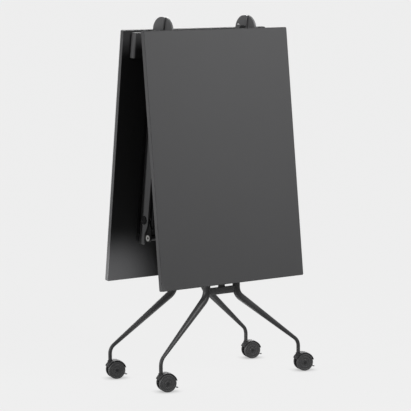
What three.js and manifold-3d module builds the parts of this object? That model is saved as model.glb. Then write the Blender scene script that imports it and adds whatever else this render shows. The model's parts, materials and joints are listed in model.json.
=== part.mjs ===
// Folding training table on casters: two half tops hinged at the centre, stored hanging as an A.
// Frame: millimetres, +Z up, +X along the centre hinge, origin on the floor under the hinge's middle.
// The rear half is drawn on the +Y side. The front half is the same half turned half a turn about Z.
import * as THREE from 'three';
import { mergeVertices } from 'three/addons/utils/BufferGeometryUtils.js';
import Module from 'manifold-3d';

// Half top
const PANEL_LENGTH = 1067;
const PANEL_WIDTH = 762;
const PANEL_THICKNESS = 19;
const PANEL_CORNER = 6;
const EDGE_BAND = 2;
const SPLIT_GAP = 2;
const TABLE_HEIGHT = 720;
const FOLD_TILT = THREE.MathUtils.degToRad(6.5);

// Centre hinge: its axis lies HINGE_DEPTH under the table's surface
const HINGE_DEPTH = 80;
const HINGE_SPREAD = 221;
const HINGE_PIN_RADIUS = 5;
const HINGE_PIN_OVERHANG = 2.5;
const HINGE_HEAD_RADIUS = 8;
const HINGE_HEAD_HEIGHT = 3;
const NOSE_DROP = 10;

// Carrying arm under each side of a half top
const ARM_THICKNESS = 8.8;
const ARM_TAIL = 107;
const ARM_WAIST = 24;
const ARM_SHOULDER = 26;
const TAIL_RAMP = 34;
const TAIL_CLEARANCE = 1.6;
const FLANGE_WIDTH = 36;
const FLANGE_THICKNESS = 3;
const FLANGE_INSET = 10;

// Stiffening rail along the split edge, let into the arms and notched for the other half's noses
const RAIL_DEPTH = 26;
const RAIL_WIDTH = 106;
const RAIL_WALL = 3;
const RAIL_SETBACK = 9;
const RAIL_END_INSET = 41;
const RAIL_NOTCH_CLEARANCE = 3;

// Leg pivot, measured along the arm and up from the hinge axis with the top flat
const PIVOT_ALONG = 808;
const PIVOT_RISE = 33;
const PIVOT_AXLE_RADIUS = 6;
const PIVOT_AXLE_OVERHANG = 8;
const PIVOT_CAP_RADIUS = 18;
const PIVOT_CAP_HEIGHT = 6;

// Leg frame
const LEG_SPREAD = 80;
const LEG_RADIUS = 16;
const LEG_WALL = 3;
const LEG_FOOT_RADIUS = 8;
const LEG_KNEE_HEIGHT = 358;
const LEG_ANKLE_HEIGHT = 131;
const LEG_KNEE_TANGENT = 30;
const LEG_ANKLE_TANGENT = 24;
const FOOT_SPREAD = 372;
const FOOT_REACH = 179;
const HEAD_DROP = 78;
const HEAD_INSET = 12;
const HEAD_RADIUS = 12.5;
const HEAD_WALL = 2;
const HEAD_SETBACK = 3;
const BUSH_FLANGE = 3;
const BUSH_SPIGOT = 14;
const BUSH_BORE_RADIUS = 4.5;
const CROSS_BAR_HEIGHT = 378;
const CROSS_BAR_DEPTH = 30;
const CROSS_BAR_WIDTH = 16;
const POST_WIDTH = 31;
const POST_THICKNESS = 8;
const LEVER_THICKNESS = 8;
const LEVER_PIVOT_RADIUS = 17;
const LEVER_HEAD_RADIUS = 18;

// Parallel link that keeps a leg frame upright, and the centre lever that carries its upper end
const LINK_OFFSET_IN = 22;
const LINK_OFFSET_DOWN = 38;
const LINK_THICKNESS = 5.2;
const LINK_WIDTH = 16;
const LINK_EYE_RADIUS = 11;
const LINK_PIN_RADIUS = 4;
const CENTRE_LEVER_THICKNESS = 8;
const CENTRE_LEVER_RADIUS = 17;
const LIFT_BAR_DROP = 75;
const LIFT_BAR_RADIUS = 10;
const LIFT_BAR_EYE = 15;

// Twin-wheel caster
const WHEEL_RADIUS = 37.5;
const WHEEL_WIDTH = 17;
const WHEEL_CHAMFER = 3;
const WHEEL_RIM = 7;
const WHEEL_DISH = 2;
const WHEEL_HUB_RADIUS = 12;
const WEB_WIDTH = 11;
const WEB_WHEEL_CLEARANCE = 1.5;
const WEB_RADIUS = 16;
const CASTER_TRAIL = 24;
const CASTER_TURN = THREE.MathUtils.degToRad(-18);
const AXLE_RADIUS = 4;
const AXLE_HEAD_RADIUS = 6.5;
const AXLE_HEAD_HEIGHT = 1.6;
const HOOD_CLEARANCE = 1.6;
const HOOD_THICKNESS = 3;
const HOOD_OVERHANG = 2;
const HOOD_START = THREE.MathUtils.degToRad(14);
const HOOD_END = THREE.MathUtils.degToRad(158);
const STEM_HEIGHT = 79;
const SOCKET_RADIUS = 11;
const SOCKET_FOOT = 47;
const STEM_PIN_RADIUS = 5;
const STEM_PIN_LENGTH = 26;
const BRAKE_PIVOT_X = 31;
const BRAKE_PIVOT_Z = 10;
const BRAKE_PIN_RADIUS = 2.5;
const BRAKE_ARM_RADIUS = 5;
const BRAKE_CHEEK = 4;
const BRAKE_TAB_NEAR = 39.5;
const BRAKE_TAB_FAR = 47.5;
const BRAKE_TAB_DROP = 22;
const BRAKE_TAB_THICKNESS = 4;
const BRAKE_TAB_WIDTH = 30;

// Fits and facet counts
const SEAT_GAP = 0.3;
const RUNNING_GAP = 0.3;
const SIDE_GAP = 0.4;
const ROUND_SIDES = 14;
const SMALL_SIDES = 8;
const TUBE_SIDES = 12;
const WHEEL_SIDES = 20;
const BEND_STEPS = 4;
const CORNER_STEPS = 3;
const ARC_STEPS = 8;
const TURN_TOLERANCE = 1e-6;

// Derived places
const UNDERSIDE = HINGE_DEPTH - PANEL_THICKNESS;
const ARM_TOP = UNDERSIDE - SEAT_GAP;
const ARM_LENGTH = PIVOT_ALONG + ARM_TAIL;
const PIVOT_HEIGHT = TABLE_HEIGHT - HINGE_DEPTH + PIVOT_RISE;
const PIVOT_REACH = PIVOT_ALONG * Math.sin(FOLD_TILT) + PIVOT_RISE * Math.cos(FOLD_TILT);
const HINGE_HEIGHT = PIVOT_HEIGHT + PIVOT_ALONG * Math.cos(FOLD_TILT) - PIVOT_RISE * Math.sin(FOLD_TILT);
const HEAD_HEIGHT = PIVOT_HEIGHT - HEAD_DROP;
const HEAD_REACH = PIVOT_REACH - HEAD_INSET;
const HEAD_LENGTH = 2 * (HINGE_SPREAD - HEAD_SETBACK);
const OUTER_ARM = -HINGE_SPREAD - SIDE_GAP / 2 - ARM_THICKNESS;
const INNER_ARM = HINGE_SPREAD - SIDE_GAP / 2 - ARM_THICKNESS;
const OUTER_LEVER = OUTER_ARM + ARM_THICKNESS + SIDE_GAP;
const INNER_LEVER = INNER_ARM - SIDE_GAP - LEVER_THICKNESS;
const LINK_FACE = INNER_ARM - SIDE_GAP;
const CENTRE_LEVER_FACE = LINK_FACE - LINK_THICKNESS - SIDE_GAP;
const WHEEL_INSIDE = WEB_WIDTH / 2 + WEB_WHEEL_CLEARANCE;
const WHEEL_OUTSIDE = WHEEL_INSIDE + WHEEL_WIDTH;
const AXLE_PLACE = [CASTER_TRAIL, 0, WHEEL_RADIUS];

const wasm = await Module();
wasm.setup();

function finish(color, roughness, metalness) {
  return () => new THREE.MeshStandardMaterial({ color, roughness, metalness });
}
const laminate = finish(0x4b4b4d, 0.55, 0);
const edging = finish(0x5a5a5c, 0.5, 0);
const paint = finish(0x3a3a3c, 0.45, 0.3);
const blackSteel = finish(0x1c1c1d, 0.5, 0.4);
const zinc = finish(0xb9bbbd, 0.35, 1);
const nylon = finish(0xcfcfcb, 0.5, 0);
const plastic = finish(0x2b2b2d, 0.5, 0);
const tyre = finish(0x39393b, 0.65, 0);

// A closed solid from a geometry: vertices merged, flat slivers dropped, faces turned outward
function solidOf(geometry) {
  const bare = geometry.clone();
  bare.deleteAttribute('normal');
  bare.deleteAttribute('uv');
  const merged = mergeVertices(bare);
  const places = merged.attributes.position;
  const corner = (index) => new THREE.Vector3().fromBufferAttribute(places, index);
  const triangles = [];
  let volume = 0;
  for (let i = 0; i < merged.index.count; i += 3) {
    const [a, b, c] = [0, 1, 2].map((k) => merged.index.getX(i + k));
    if (a === b || b === c || c === a) continue;
    triangles.push([a, b, c]);
    volume += corner(a).dot(corner(b).cross(corner(c)));
  }
  const outward = volume > 0 ? triangles : triangles.map(([a, b, c]) => [a, c, b]);
  const mesh = new wasm.Mesh({
    numProp: 3,
    vertProperties: new Float32Array(places.array),
    triVerts: new Uint32Array(outward.flat()),
  });
  return new wasm.Manifold(mesh);
}

function geometryOf(solid) {
  const mesh = solid.getMesh();
  const geometry = new THREE.BufferGeometry();
  geometry.setAttribute('position', new THREE.BufferAttribute(mesh.vertProperties, 3));
  geometry.setIndex(new THREE.BufferAttribute(mesh.triVerts, 1));
  geometry.computeVertexNormals();
  return geometry;
}

const joined = (solids) => solids.reduce((whole, solid) => whole.add(solid));

function addPiece(group, name, solid, material) {
  const mesh = new THREE.Mesh(geometryOf(solid), material());
  mesh.name = name;
  group.add(mesh);
}

// Boxes, rods along an axis, turned pieces and flat plates
function box(low, high) {
  const size = high.map((value, axis) => value - low[axis]);
  const geometry = new THREE.BoxGeometry(...size);
  geometry.translate(...low.map((value, axis) => value + size[axis] / 2));
  return solidOf(geometry);
}

const AXIS_TURN = {
  x: new THREE.Matrix4().makeRotationZ(-Math.PI / 2),
  y: new THREE.Matrix4(),
  z: new THREE.Matrix4().makeRotationX(Math.PI / 2),
};

// Turned piece: profile points are radius and place along the axis
function turned(profile, axis, place = [0, 0, 0], sides = ROUND_SIDES) {
  const points = profile.map(([radius, along]) => new THREE.Vector2(radius, along));
  const geometry = new THREE.LatheGeometry(points, sides);
  geometry.applyMatrix4(AXIS_TURN[axis]);
  geometry.translate(...place);
  return solidOf(geometry);
}

function rod(radius, from, to, axis, place = [0, 0, 0], sides = ROUND_SIDES) {
  return turned([[0, from], [radius, from], [radius, to], [0, to]], axis, place, sides);
}

function sleeve(radius, bore, from, to, axis, place = [0, 0, 0], sides = ROUND_SIDES) {
  const profile = [[bore, from], [radius, from], [radius, to], [bore, to], [bore, from]];
  return turned(profile, axis, place, sides);
}

function roundHole(y, z, radius) {
  const hole = new THREE.Path();
  hole.absarc(y, z, radius, 0, 2 * Math.PI, true);
  return hole;
}

const SIDE_VIEW = new THREE.Matrix4().makeBasis(
  new THREE.Vector3(0, 1, 0), new THREE.Vector3(0, 0, 1), new THREE.Vector3(1, 0, 0));

// Plate drawn in side view, Y across and Z up, standing between two X places
function sidePlate(shape, from, to, curveSegments = ARC_STEPS) {
  const geometry = new THREE.ExtrudeGeometry(shape, { depth: to - from, bevelEnabled: false, curveSegments });
  geometry.applyMatrix4(SIDE_VIEW);
  geometry.translate(from, 0, 0);
  return solidOf(geometry);
}

// Outline stretched tightly round a few circles, each given as Y, Z and radius
function strapShape(circles) {
  const points = circles.flatMap(([y, z, radius]) => Array.from({ length: ROUND_SIDES }, (_, step) => {
    const angle = (2 * Math.PI * step) / ROUND_SIDES;
    return new THREE.Vector2(y + radius * Math.cos(angle), z + radius * Math.sin(angle));
  }));
  points.sort((a, b) => a.x - b.x || a.y - b.y);
  const turnsLeft = (a, b, c) => (b.x - a.x) * (c.y - a.y) - (b.y - a.y) * (c.x - a.x) > TURN_TOLERANCE;
  const chain = (list) => {
    const side = [];
    for (const point of list) {
      while (side.length > 1 && !turnsLeft(side.at(-2), side.at(-1), point)) side.pop();
      side.push(point);
    }
    side.pop();
    return side;
  };
  return new THREE.Shape([...chain(points), ...chain([...points].reverse())]);
}

function roundedRectangle(width, length, radius) {
  const shape = new THREE.Shape();
  const [halfWidth, halfLength] = [width / 2 - radius, length / 2 - radius];
  shape.absarc(halfWidth, halfLength, radius, 0, Math.PI / 2);
  shape.absarc(-halfWidth, halfLength, radius, Math.PI / 2, Math.PI);
  shape.absarc(-halfWidth, -halfLength, radius, Math.PI, 1.5 * Math.PI);
  shape.absarc(halfWidth, -halfLength, radius, 1.5 * Math.PI, 2 * Math.PI);
  return shape;
}

// Round tube along straight and bent stretches, each with its own steps and end radius
function taperedTube(stretches, firstRadius, across, sides) {
  const rings = [];
  let radius = firstRadius;
  stretches.forEach(({ curve, steps, endRadius }, order) => {
    for (let step = order ? 1 : 0; step <= steps; step += 1) {
      const share = step / steps;
      const ringRadius = THREE.MathUtils.lerp(radius, endRadius, share);
      const up = new THREE.Vector3().crossVectors(curve.getTangent(share), across);
      rings.push({ centre: curve.getPoint(share), up, ringRadius });
    }
    radius = endRadius;
  });
  const places = rings.flatMap(({ centre, up, ringRadius }) => Array.from({ length: sides }, (_, side) => {
    const angle = (2 * Math.PI * side) / sides;
    const spoke = across.clone().multiplyScalar(Math.cos(angle)).addScaledVector(up, Math.sin(angle));
    return centre.clone().addScaledVector(spoke, ringRadius);
  }));
  places.push(rings[0].centre, rings.at(-1).centre);
  const [firstCap, lastCap] = [places.length - 2, places.length - 1];
  const lastRing = (rings.length - 1) * sides;
  const index = [];
  for (let side = 0; side < sides; side += 1) {
    const next = (side + 1) % sides;
    index.push(firstCap, next, side, lastCap, lastRing + side, lastRing + next);
    for (let ring = 0; ring < lastRing; ring += sides) {
      index.push(ring + side, ring + next, ring + sides + side);
      index.push(ring + next, ring + sides + next, ring + sides + side);
    }
  }
  const geometry = new THREE.BufferGeometry().setFromPoints(places);
  geometry.setIndex(index);
  return solidOf(geometry);
}

// Half top, drawn lying flat with the hinge axis at its origin and its outer end towards +Y

function board(inset) {
  const radius = PANEL_CORNER - inset;
  const shape = roundedRectangle(PANEL_WIDTH - 2 * inset, PANEL_LENGTH - 2 * inset, radius);
  const geometry = new THREE.ExtrudeGeometry(shape, {
    depth: PANEL_THICKNESS, bevelEnabled: false, curveSegments: CORNER_STEPS });
  geometry.translate(0, SPLIT_GAP / 2 + PANEL_LENGTH / 2, UNDERSIDE);
  return solidOf(geometry);
}

function tabletop() {
  return board(EDGE_BAND + SEAT_GAP);
}

function edgeBand() {
  return board(0).subtract(board(EDGE_BAND));
}

// Where the leg frame's head tube lies beside the folded arm
function foldedHead() {
  const along = PIVOT_ALONG - HEAD_INSET * Math.sin(FOLD_TILT) + HEAD_DROP * Math.cos(FOLD_TILT);
  const rise = PIVOT_RISE - HEAD_INSET * Math.cos(FOLD_TILT) - HEAD_DROP * Math.sin(FOLD_TILT);
  return { along, rise };
}

// Arm: a plate on edge with a nose rounded about the hinge, a tail over the head tube, and a top flange
function arm(from) {
  const tailBottom = foldedHead().rise + HEAD_RADIUS + TAIL_CLEARANCE;
  const shape = new THREE.Shape();
  shape.moveTo(ARM_LENGTH, ARM_TOP);
  shape.lineTo(0, ARM_TOP);
  shape.absarc(0, 0, ARM_TOP, Math.PI / 2, Math.PI + Math.asin(NOSE_DROP / ARM_TOP));
  shape.lineTo(PIVOT_ALONG + ARM_SHOULDER, PIVOT_RISE - ARM_WAIST);
  shape.lineTo(PIVOT_ALONG + ARM_SHOULDER + TAIL_RAMP, tailBottom);
  shape.lineTo(ARM_LENGTH, tailBottom);
  shape.holes.push(roundHole(0, 0, HINGE_PIN_RADIUS + RUNNING_GAP));
  shape.holes.push(roundHole(PIVOT_ALONG, PIVOT_RISE, PIVOT_AXLE_RADIUS + RUNNING_GAP));
  const middle = from + ARM_THICKNESS / 2;
  const railRoom = box([from - SIDE_GAP, RAIL_SETBACK - SEAT_GAP, ARM_TOP - RAIL_DEPTH - SEAT_GAP],
    [from + ARM_THICKNESS + SIDE_GAP, RAIL_SETBACK + RAIL_WIDTH + SEAT_GAP, UNDERSIDE]);
  const flange = box(
    [middle - FLANGE_WIDTH / 2, RAIL_SETBACK + RAIL_WIDTH + FLANGE_INSET, ARM_TOP - FLANGE_THICKNESS],
    [middle + FLANGE_WIDTH / 2, ARM_LENGTH - FLANGE_INSET, ARM_TOP]);
  return sidePlate(shape, from, from + ARM_THICKNESS).add(flange).subtract(railRoom);
}

// Folded sheet rail, open towards the board
function splitRail() {
  const end = PANEL_WIDTH / 2 - RAIL_END_INSET;
  const back = RAIL_SETBACK + RAIL_WIDTH;
  const shell = box([-end, RAIL_SETBACK, ARM_TOP - RAIL_DEPTH], [end, back, ARM_TOP]);
  const hollow = box([RAIL_WALL - end, RAIL_SETBACK + RAIL_WALL, ARM_TOP - RAIL_DEPTH + RAIL_WALL],
    [end - RAIL_WALL, back - RAIL_WALL, UNDERSIDE]);
  const noseRoom = [-OUTER_ARM, -INNER_ARM].map((face) => box(
    [face - ARM_THICKNESS - RAIL_NOTCH_CLEARANCE, 0, 0],
    [face + RAIL_NOTCH_CLEARANCE, ARM_TOP + RAIL_NOTCH_CLEARANCE, UNDERSIDE]));
  return shell.subtract(hollow).subtract(noseRoom[0]).subtract(noseRoom[1]);
}

// Leg frame, drawn upright where it stands with the table folded

function footPath() {
  const top = new THREE.Vector3(LEG_SPREAD, HEAD_REACH, HEAD_HEIGHT);
  const knee = new THREE.Vector3(LEG_SPREAD, HEAD_REACH, LEG_KNEE_HEIGHT);
  const ankle = new THREE.Vector3(FOOT_SPREAD, FOOT_REACH, LEG_ANKLE_HEIGHT);
  const foot = new THREE.Vector3(FOOT_SPREAD, FOOT_REACH, STEM_HEIGHT + SEAT_GAP);
  const shin = new THREE.Vector3().subVectors(ankle, knee).normalize();
  const across = new THREE.Vector3(-shin.y, shin.x, 0).normalize();
  const along = (point, direction, length) => point.clone().addScaledVector(direction, length);
  const down = new THREE.Vector3(0, 0, -1);
  const kneeIn = along(knee, down, -LEG_KNEE_TANGENT);
  const kneeOut = along(knee, shin, LEG_KNEE_TANGENT);
  const ankleIn = along(ankle, shin, -LEG_ANKLE_TANGENT);
  const ankleOut = along(ankle, down, LEG_ANKLE_TANGENT);
  return { top, kneeIn, knee, kneeOut, ankleIn, ankle, ankleOut, foot, across };
}

function legTube(side, grow = 0) {
  const path = footPath();
  const thick = LEG_RADIUS + grow;
  const thin = LEG_FOOT_RADIUS + grow;
  const stretches = [
    { curve: new THREE.LineCurve3(path.top, path.kneeIn), steps: 1, endRadius: thick },
    { curve: new THREE.QuadraticBezierCurve3(path.kneeIn, path.knee, path.kneeOut),
      steps: BEND_STEPS, endRadius: thick },
    { curve: new THREE.LineCurve3(path.kneeOut, path.ankleIn), steps: 1, endRadius: thin },
    { curve: new THREE.QuadraticBezierCurve3(path.ankleIn, path.ankle, path.ankleOut),
      steps: BEND_STEPS, endRadius: thin },
    { curve: new THREE.LineCurve3(path.ankleOut, path.foot), steps: 1, endRadius: thin },
  ];
  const tube = taperedTube(stretches, thick, path.across, TUBE_SIDES);
  return side > 0 ? tube : tube.mirror([1, 0, 0]);
}

function headRod(radius, length = HEAD_LENGTH) {
  return rod(radius, -length / 2, length / 2, 'x', [0, HEAD_REACH, HEAD_HEIGHT]);
}

function leg(side) {
  const x = side * LEG_SPREAD;
  const bore = rod(LEG_RADIUS - LEG_WALL, LEG_KNEE_HEIGHT + LEG_KNEE_TANGENT, HEAD_HEIGHT + HEAD_RADIUS,
    'z', [x, HEAD_REACH, 0], TUBE_SIDES);
  const pinHole = rod(STEM_PIN_RADIUS + RUNNING_GAP, 0, STEM_HEIGHT + STEM_PIN_LENGTH + SEAT_GAP,
    'z', [side * FOOT_SPREAD, FOOT_REACH, 0], TUBE_SIDES);
  return legTube(side).subtract(bore).subtract(headRod(HEAD_RADIUS + SEAT_GAP)).subtract(pinHole);
}

function crossBar() {
  const bar = box([-LEG_SPREAD, HEAD_REACH - CROSS_BAR_WIDTH / 2, CROSS_BAR_HEIGHT - CROSS_BAR_DEPTH / 2],
    [LEG_SPREAD, HEAD_REACH + CROSS_BAR_WIDTH / 2, CROSS_BAR_HEIGHT + CROSS_BAR_DEPTH / 2]);
  return bar.subtract(legTube(1, SEAT_GAP)).subtract(legTube(-1, SEAT_GAP));
}

function centrePost() {
  const post = box(
    [-POST_WIDTH / 2, HEAD_REACH - POST_THICKNESS / 2, CROSS_BAR_HEIGHT + CROSS_BAR_DEPTH / 2 + SEAT_GAP],
    [POST_WIDTH / 2, HEAD_REACH + POST_THICKNESS / 2, HEAD_HEIGHT]);
  return post.subtract(headRod(HEAD_RADIUS + SEAT_GAP));
}

function headTube() {
  const place = [0, HEAD_REACH, HEAD_HEIGHT];
  return sleeve(HEAD_RADIUS, HEAD_RADIUS - HEAD_WALL, -HEAD_LENGTH / 2, HEAD_LENGTH / 2, 'x', place);
}

function headBush(side) {
  const seat = HEAD_LENGTH / 2 + SEAT_GAP;
  const spigot = HEAD_RADIUS - HEAD_WALL - SEAT_GAP;
  const profile = [[BUSH_BORE_RADIUS, seat - BUSH_SPIGOT], [spigot, seat - BUSH_SPIGOT], [spigot, seat],
    [HEAD_RADIUS, seat], [HEAD_RADIUS, seat + BUSH_FLANGE], [BUSH_BORE_RADIUS, seat + BUSH_FLANGE],
    [BUSH_BORE_RADIUS, seat - BUSH_SPIGOT]];
  const facing = profile.map(([radius, along]) => [radius, side * along]);
  return turned(facing, 'x', [0, HEAD_REACH, HEAD_HEIGHT]);
}

// Upright lever plate between the head tube and the pivot axle, beside the inside face of its arm
function leverPlate(from) {
  const shape = strapShape([[PIVOT_REACH, PIVOT_HEIGHT, LEVER_PIVOT_RADIUS],
    [HEAD_REACH, HEAD_HEIGHT, LEVER_HEAD_RADIUS]]);
  shape.holes.push(roundHole(PIVOT_REACH, PIVOT_HEIGHT, PIVOT_AXLE_RADIUS + RUNNING_GAP));
  shape.holes.push(roundHole(HEAD_REACH, HEAD_HEIGHT, HEAD_RADIUS + SEAT_GAP));
  return sidePlate(shape, from, from + LEVER_THICKNESS);
}

// The lever beside the outer arm also carries the link's lower pin on a lug
function linkedLeverPlate() {
  const [y, z] = [PIVOT_REACH - LINK_OFFSET_IN, PIVOT_HEIGHT - LINK_OFFSET_DOWN];
  const shape = strapShape([[PIVOT_REACH, PIVOT_HEIGHT, LEVER_PIVOT_RADIUS], [y, z, LINK_EYE_RADIUS]]);
  shape.holes.push(roundHole(PIVOT_REACH, PIVOT_HEIGHT, PIVOT_AXLE_RADIUS + RUNNING_GAP));
  const lug = sidePlate(shape, OUTER_LEVER, OUTER_LEVER + LEVER_THICKNESS)
    .subtract(headRod(HEAD_RADIUS + SEAT_GAP));
  const pin = rod(LINK_PIN_RADIUS, OUTER_LEVER + LEVER_THICKNESS / 2,
    -LINK_FACE + LINK_THICKNESS, 'x', [0, y, z], SMALL_SIDES);
  return joined([leverPlate(OUTER_LEVER), lug, pin]);
}

// Pivot axle with a broad head outside the outer arm, and a cap on its other end
function pivotAxle() {
  const seat = OUTER_ARM - SIDE_GAP;
  const [head, tip] = [seat - PIVOT_CAP_HEIGHT, INNER_ARM + ARM_THICKNESS + PIVOT_AXLE_OVERHANG];
  const profile = [[0, head], [PIVOT_CAP_RADIUS, head], [PIVOT_CAP_RADIUS, seat],
    [PIVOT_AXLE_RADIUS, seat], [PIVOT_AXLE_RADIUS, tip], [0, tip]];
  return turned(profile, 'x', [0, PIVOT_REACH, PIVOT_HEIGHT]);
}

function pivotCap() {
  const seat = INNER_ARM + ARM_THICKNESS + SIDE_GAP;
  return sleeve(PIVOT_CAP_RADIUS, PIVOT_AXLE_RADIUS + SEAT_GAP, seat, seat + PIVOT_CAP_HEIGHT, 'x',
    [0, PIVOT_REACH, PIVOT_HEIGHT]);
}

// Flat link from the centre lever to the leg frame's lug, parallel to the line from hinge to pivot
function parallelLink() {
  const upper = [-LINK_OFFSET_IN, HINGE_HEIGHT - LINK_OFFSET_DOWN];
  const lower = [PIVOT_REACH - LINK_OFFSET_IN, PIVOT_HEIGHT - LINK_OFFSET_DOWN];
  const bar = strapShape([[...upper, LINK_WIDTH / 2], [...lower, LINK_WIDTH / 2]]);
  const eyes = [upper, lower].map((eye) => strapShape([[...eye, LINK_EYE_RADIUS]]));
  const from = -LINK_FACE;
  const whole = joined([bar, ...eyes].map((shape) => sidePlate(shape, from, from + LINK_THICKNESS)));
  const holes = [upper, lower].map((eye) => rod(LINK_PIN_RADIUS + RUNNING_GAP, from - SIDE_GAP,
    from + LINK_THICKNESS + SIDE_GAP, 'x', [0, ...eye]));
  return whole.subtract(holes[0]).subtract(holes[1]);
}

// Centre frame that stays upright: hinge pins, centre levers and the lift bar between them

function hingePin() {
  const outside = OUTER_ARM - SEAT_GAP;
  const inside = -CENTRE_LEVER_FACE + CENTRE_LEVER_THICKNESS + HINGE_PIN_OVERHANG;
  const profile = [[0, outside - HINGE_HEAD_HEIGHT], [HINGE_HEAD_RADIUS, outside - HINGE_HEAD_HEIGHT],
    [HINGE_HEAD_RADIUS, outside], [HINGE_PIN_RADIUS, outside], [HINGE_PIN_RADIUS, inside], [0, inside]];
  return turned(profile, 'x', [0, 0, HINGE_HEIGHT]);
}

function centreLever() {
  const eye = [-LINK_OFFSET_IN, HINGE_HEIGHT - LINK_OFFSET_DOWN];
  const grip = [0, HINGE_HEIGHT - LIFT_BAR_DROP];
  const shape = strapShape([[0, HINGE_HEIGHT, CENTRE_LEVER_RADIUS], [...eye, LINK_EYE_RADIUS],
    [...grip, LIFT_BAR_EYE]]);
  shape.holes.push(roundHole(0, HINGE_HEIGHT, HINGE_PIN_RADIUS + SEAT_GAP));
  shape.holes.push(roundHole(...grip, LIFT_BAR_RADIUS + SEAT_GAP));
  const from = -CENTRE_LEVER_FACE;
  const pin = rod(LINK_PIN_RADIUS, -LINK_FACE, from + CENTRE_LEVER_THICKNESS / 2, 'x', [0, ...eye], SMALL_SIDES);
  return sidePlate(shape, from, from + CENTRE_LEVER_THICKNESS).add(pin);
}

function liftBar() {
  return rod(LIFT_BAR_RADIUS, -CENTRE_LEVER_FACE, CENTRE_LEVER_FACE, 'x', [0, 0, HINGE_HEIGHT - LIFT_BAR_DROP]);
}

// Caster, drawn with its swivel axis at the origin, trailing towards +X, axle along Y

// Plate drawn about the axle in the wheel's plane, standing between two Y places
function casterPlate(shape, from, to) {
  const geometry = new THREE.ExtrudeGeometry(shape, {
    depth: to - from, bevelEnabled: false, curveSegments: ARC_STEPS });
  geometry.rotateX(Math.PI / 2);
  geometry.translate(CASTER_TRAIL, to, WHEEL_RADIUS);
  return solidOf(geometry);
}

function wheel(side) {
  const [inside, outside] = [WHEEL_INSIDE, WHEEL_OUTSIDE];
  const bore = AXLE_RADIUS + RUNNING_GAP;
  const rim = WHEEL_RADIUS - WHEEL_RIM;
  const profile = [[bore, inside], [WHEEL_RADIUS - WHEEL_CHAMFER, inside],
    [WHEEL_RADIUS, inside + WHEEL_CHAMFER], [WHEEL_RADIUS, outside - WHEEL_CHAMFER],
    [WHEEL_RADIUS - WHEEL_CHAMFER, outside], [rim, outside], [rim - WHEEL_DISH, outside - WHEEL_DISH],
    [WHEEL_HUB_RADIUS, outside - WHEEL_DISH], [WHEEL_HUB_RADIUS - WHEEL_DISH, outside],
    [bore, outside], [bore, inside]];
  const facing = profile.map(([radius, along]) => [radius, side * along]);
  return turned(facing, 'y', AXLE_PLACE, WHEEL_SIDES);
}

function axle() {
  const face = WHEEL_OUTSIDE + RUNNING_GAP;
  const end = face + AXLE_HEAD_HEIGHT;
  const profile = [[0, -end], [AXLE_HEAD_RADIUS, -end], [AXLE_HEAD_RADIUS, -face], [AXLE_RADIUS, -face],
    [AXLE_RADIUS, face], [AXLE_HEAD_RADIUS, face], [AXLE_HEAD_RADIUS, end], [0, end]];
  return turned(profile, 'y', AXLE_PLACE);
}

// Hood: a curved roof over both treads, a web between the wheels, the swivel socket and its stem pin
function hood() {
  const inner = WHEEL_RADIUS + HOOD_CLEARANCE;
  const roofHalf = WHEEL_OUTSIDE - HOOD_OVERHANG;
  const roof = new THREE.Shape();
  roof.absarc(0, 0, inner + HOOD_THICKNESS, HOOD_START, HOOD_END);
  roof.lineTo(-WEB_RADIUS, 0);
  roof.absarc(0, 0, WEB_RADIUS, Math.PI, 1.5 * Math.PI);
  roof.lineTo(0, BRAKE_PIVOT_Z);
  const cheek = strapShape([[BRAKE_PIVOT_X, BRAKE_PIVOT_Z, BRAKE_ARM_RADIUS],
    [0, BRAKE_PIVOT_Z, BRAKE_ARM_RADIUS], [0, WEB_RADIUS, BRAKE_ARM_RADIUS]]);
  const brakePin = rod(BRAKE_PIN_RADIUS, -WEB_WIDTH / 2, WEB_WIDTH / 2, 'y',
    [CASTER_TRAIL + BRAKE_PIVOT_X, 0, WHEEL_RADIUS + BRAKE_PIVOT_Z], SMALL_SIDES);
  const socket = rod(SOCKET_RADIUS, SOCKET_FOOT, STEM_HEIGHT - SEAT_GAP, 'z');
  const stemPin = rod(STEM_PIN_RADIUS, SOCKET_FOOT, STEM_HEIGHT + STEM_PIN_LENGTH, 'z', [0, 0, 0], TUBE_SIDES);
  const wheelRoom = [-1, 1].map((side) => rod(inner, side * (WEB_WIDTH / 2), side * WHEEL_OUTSIDE,
    'y', AXLE_PLACE, WHEEL_SIDES));
  const pedalRoom = box(
    [CASTER_TRAIL + BRAKE_PIVOT_X - BRAKE_ARM_RADIUS - HOOD_CLEARANCE, BRAKE_CHEEK - WEB_WIDTH / 2, 0],
    [CASTER_TRAIL + inner + HOOD_THICKNESS, WEB_WIDTH / 2,
      WHEEL_RADIUS + BRAKE_PIVOT_Z + BRAKE_ARM_RADIUS + HOOD_CLEARANCE]);
  const axleHole = rod(AXLE_RADIUS + SEAT_GAP, -WHEEL_OUTSIDE, WHEEL_OUTSIDE, 'y', AXLE_PLACE);
  const body = joined([casterPlate(roof, -roofHalf, roofHalf), socket])
    .subtract(wheelRoom[0]).subtract(wheelRoom[1]);
  const web = body.add(casterPlate(cheek, -WEB_WIDTH / 2, BRAKE_CHEEK - WEB_WIDTH / 2));
  return web.subtract(pedalRoom).subtract(axleHole).add(brakePin).add(stemPin);
}

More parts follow.
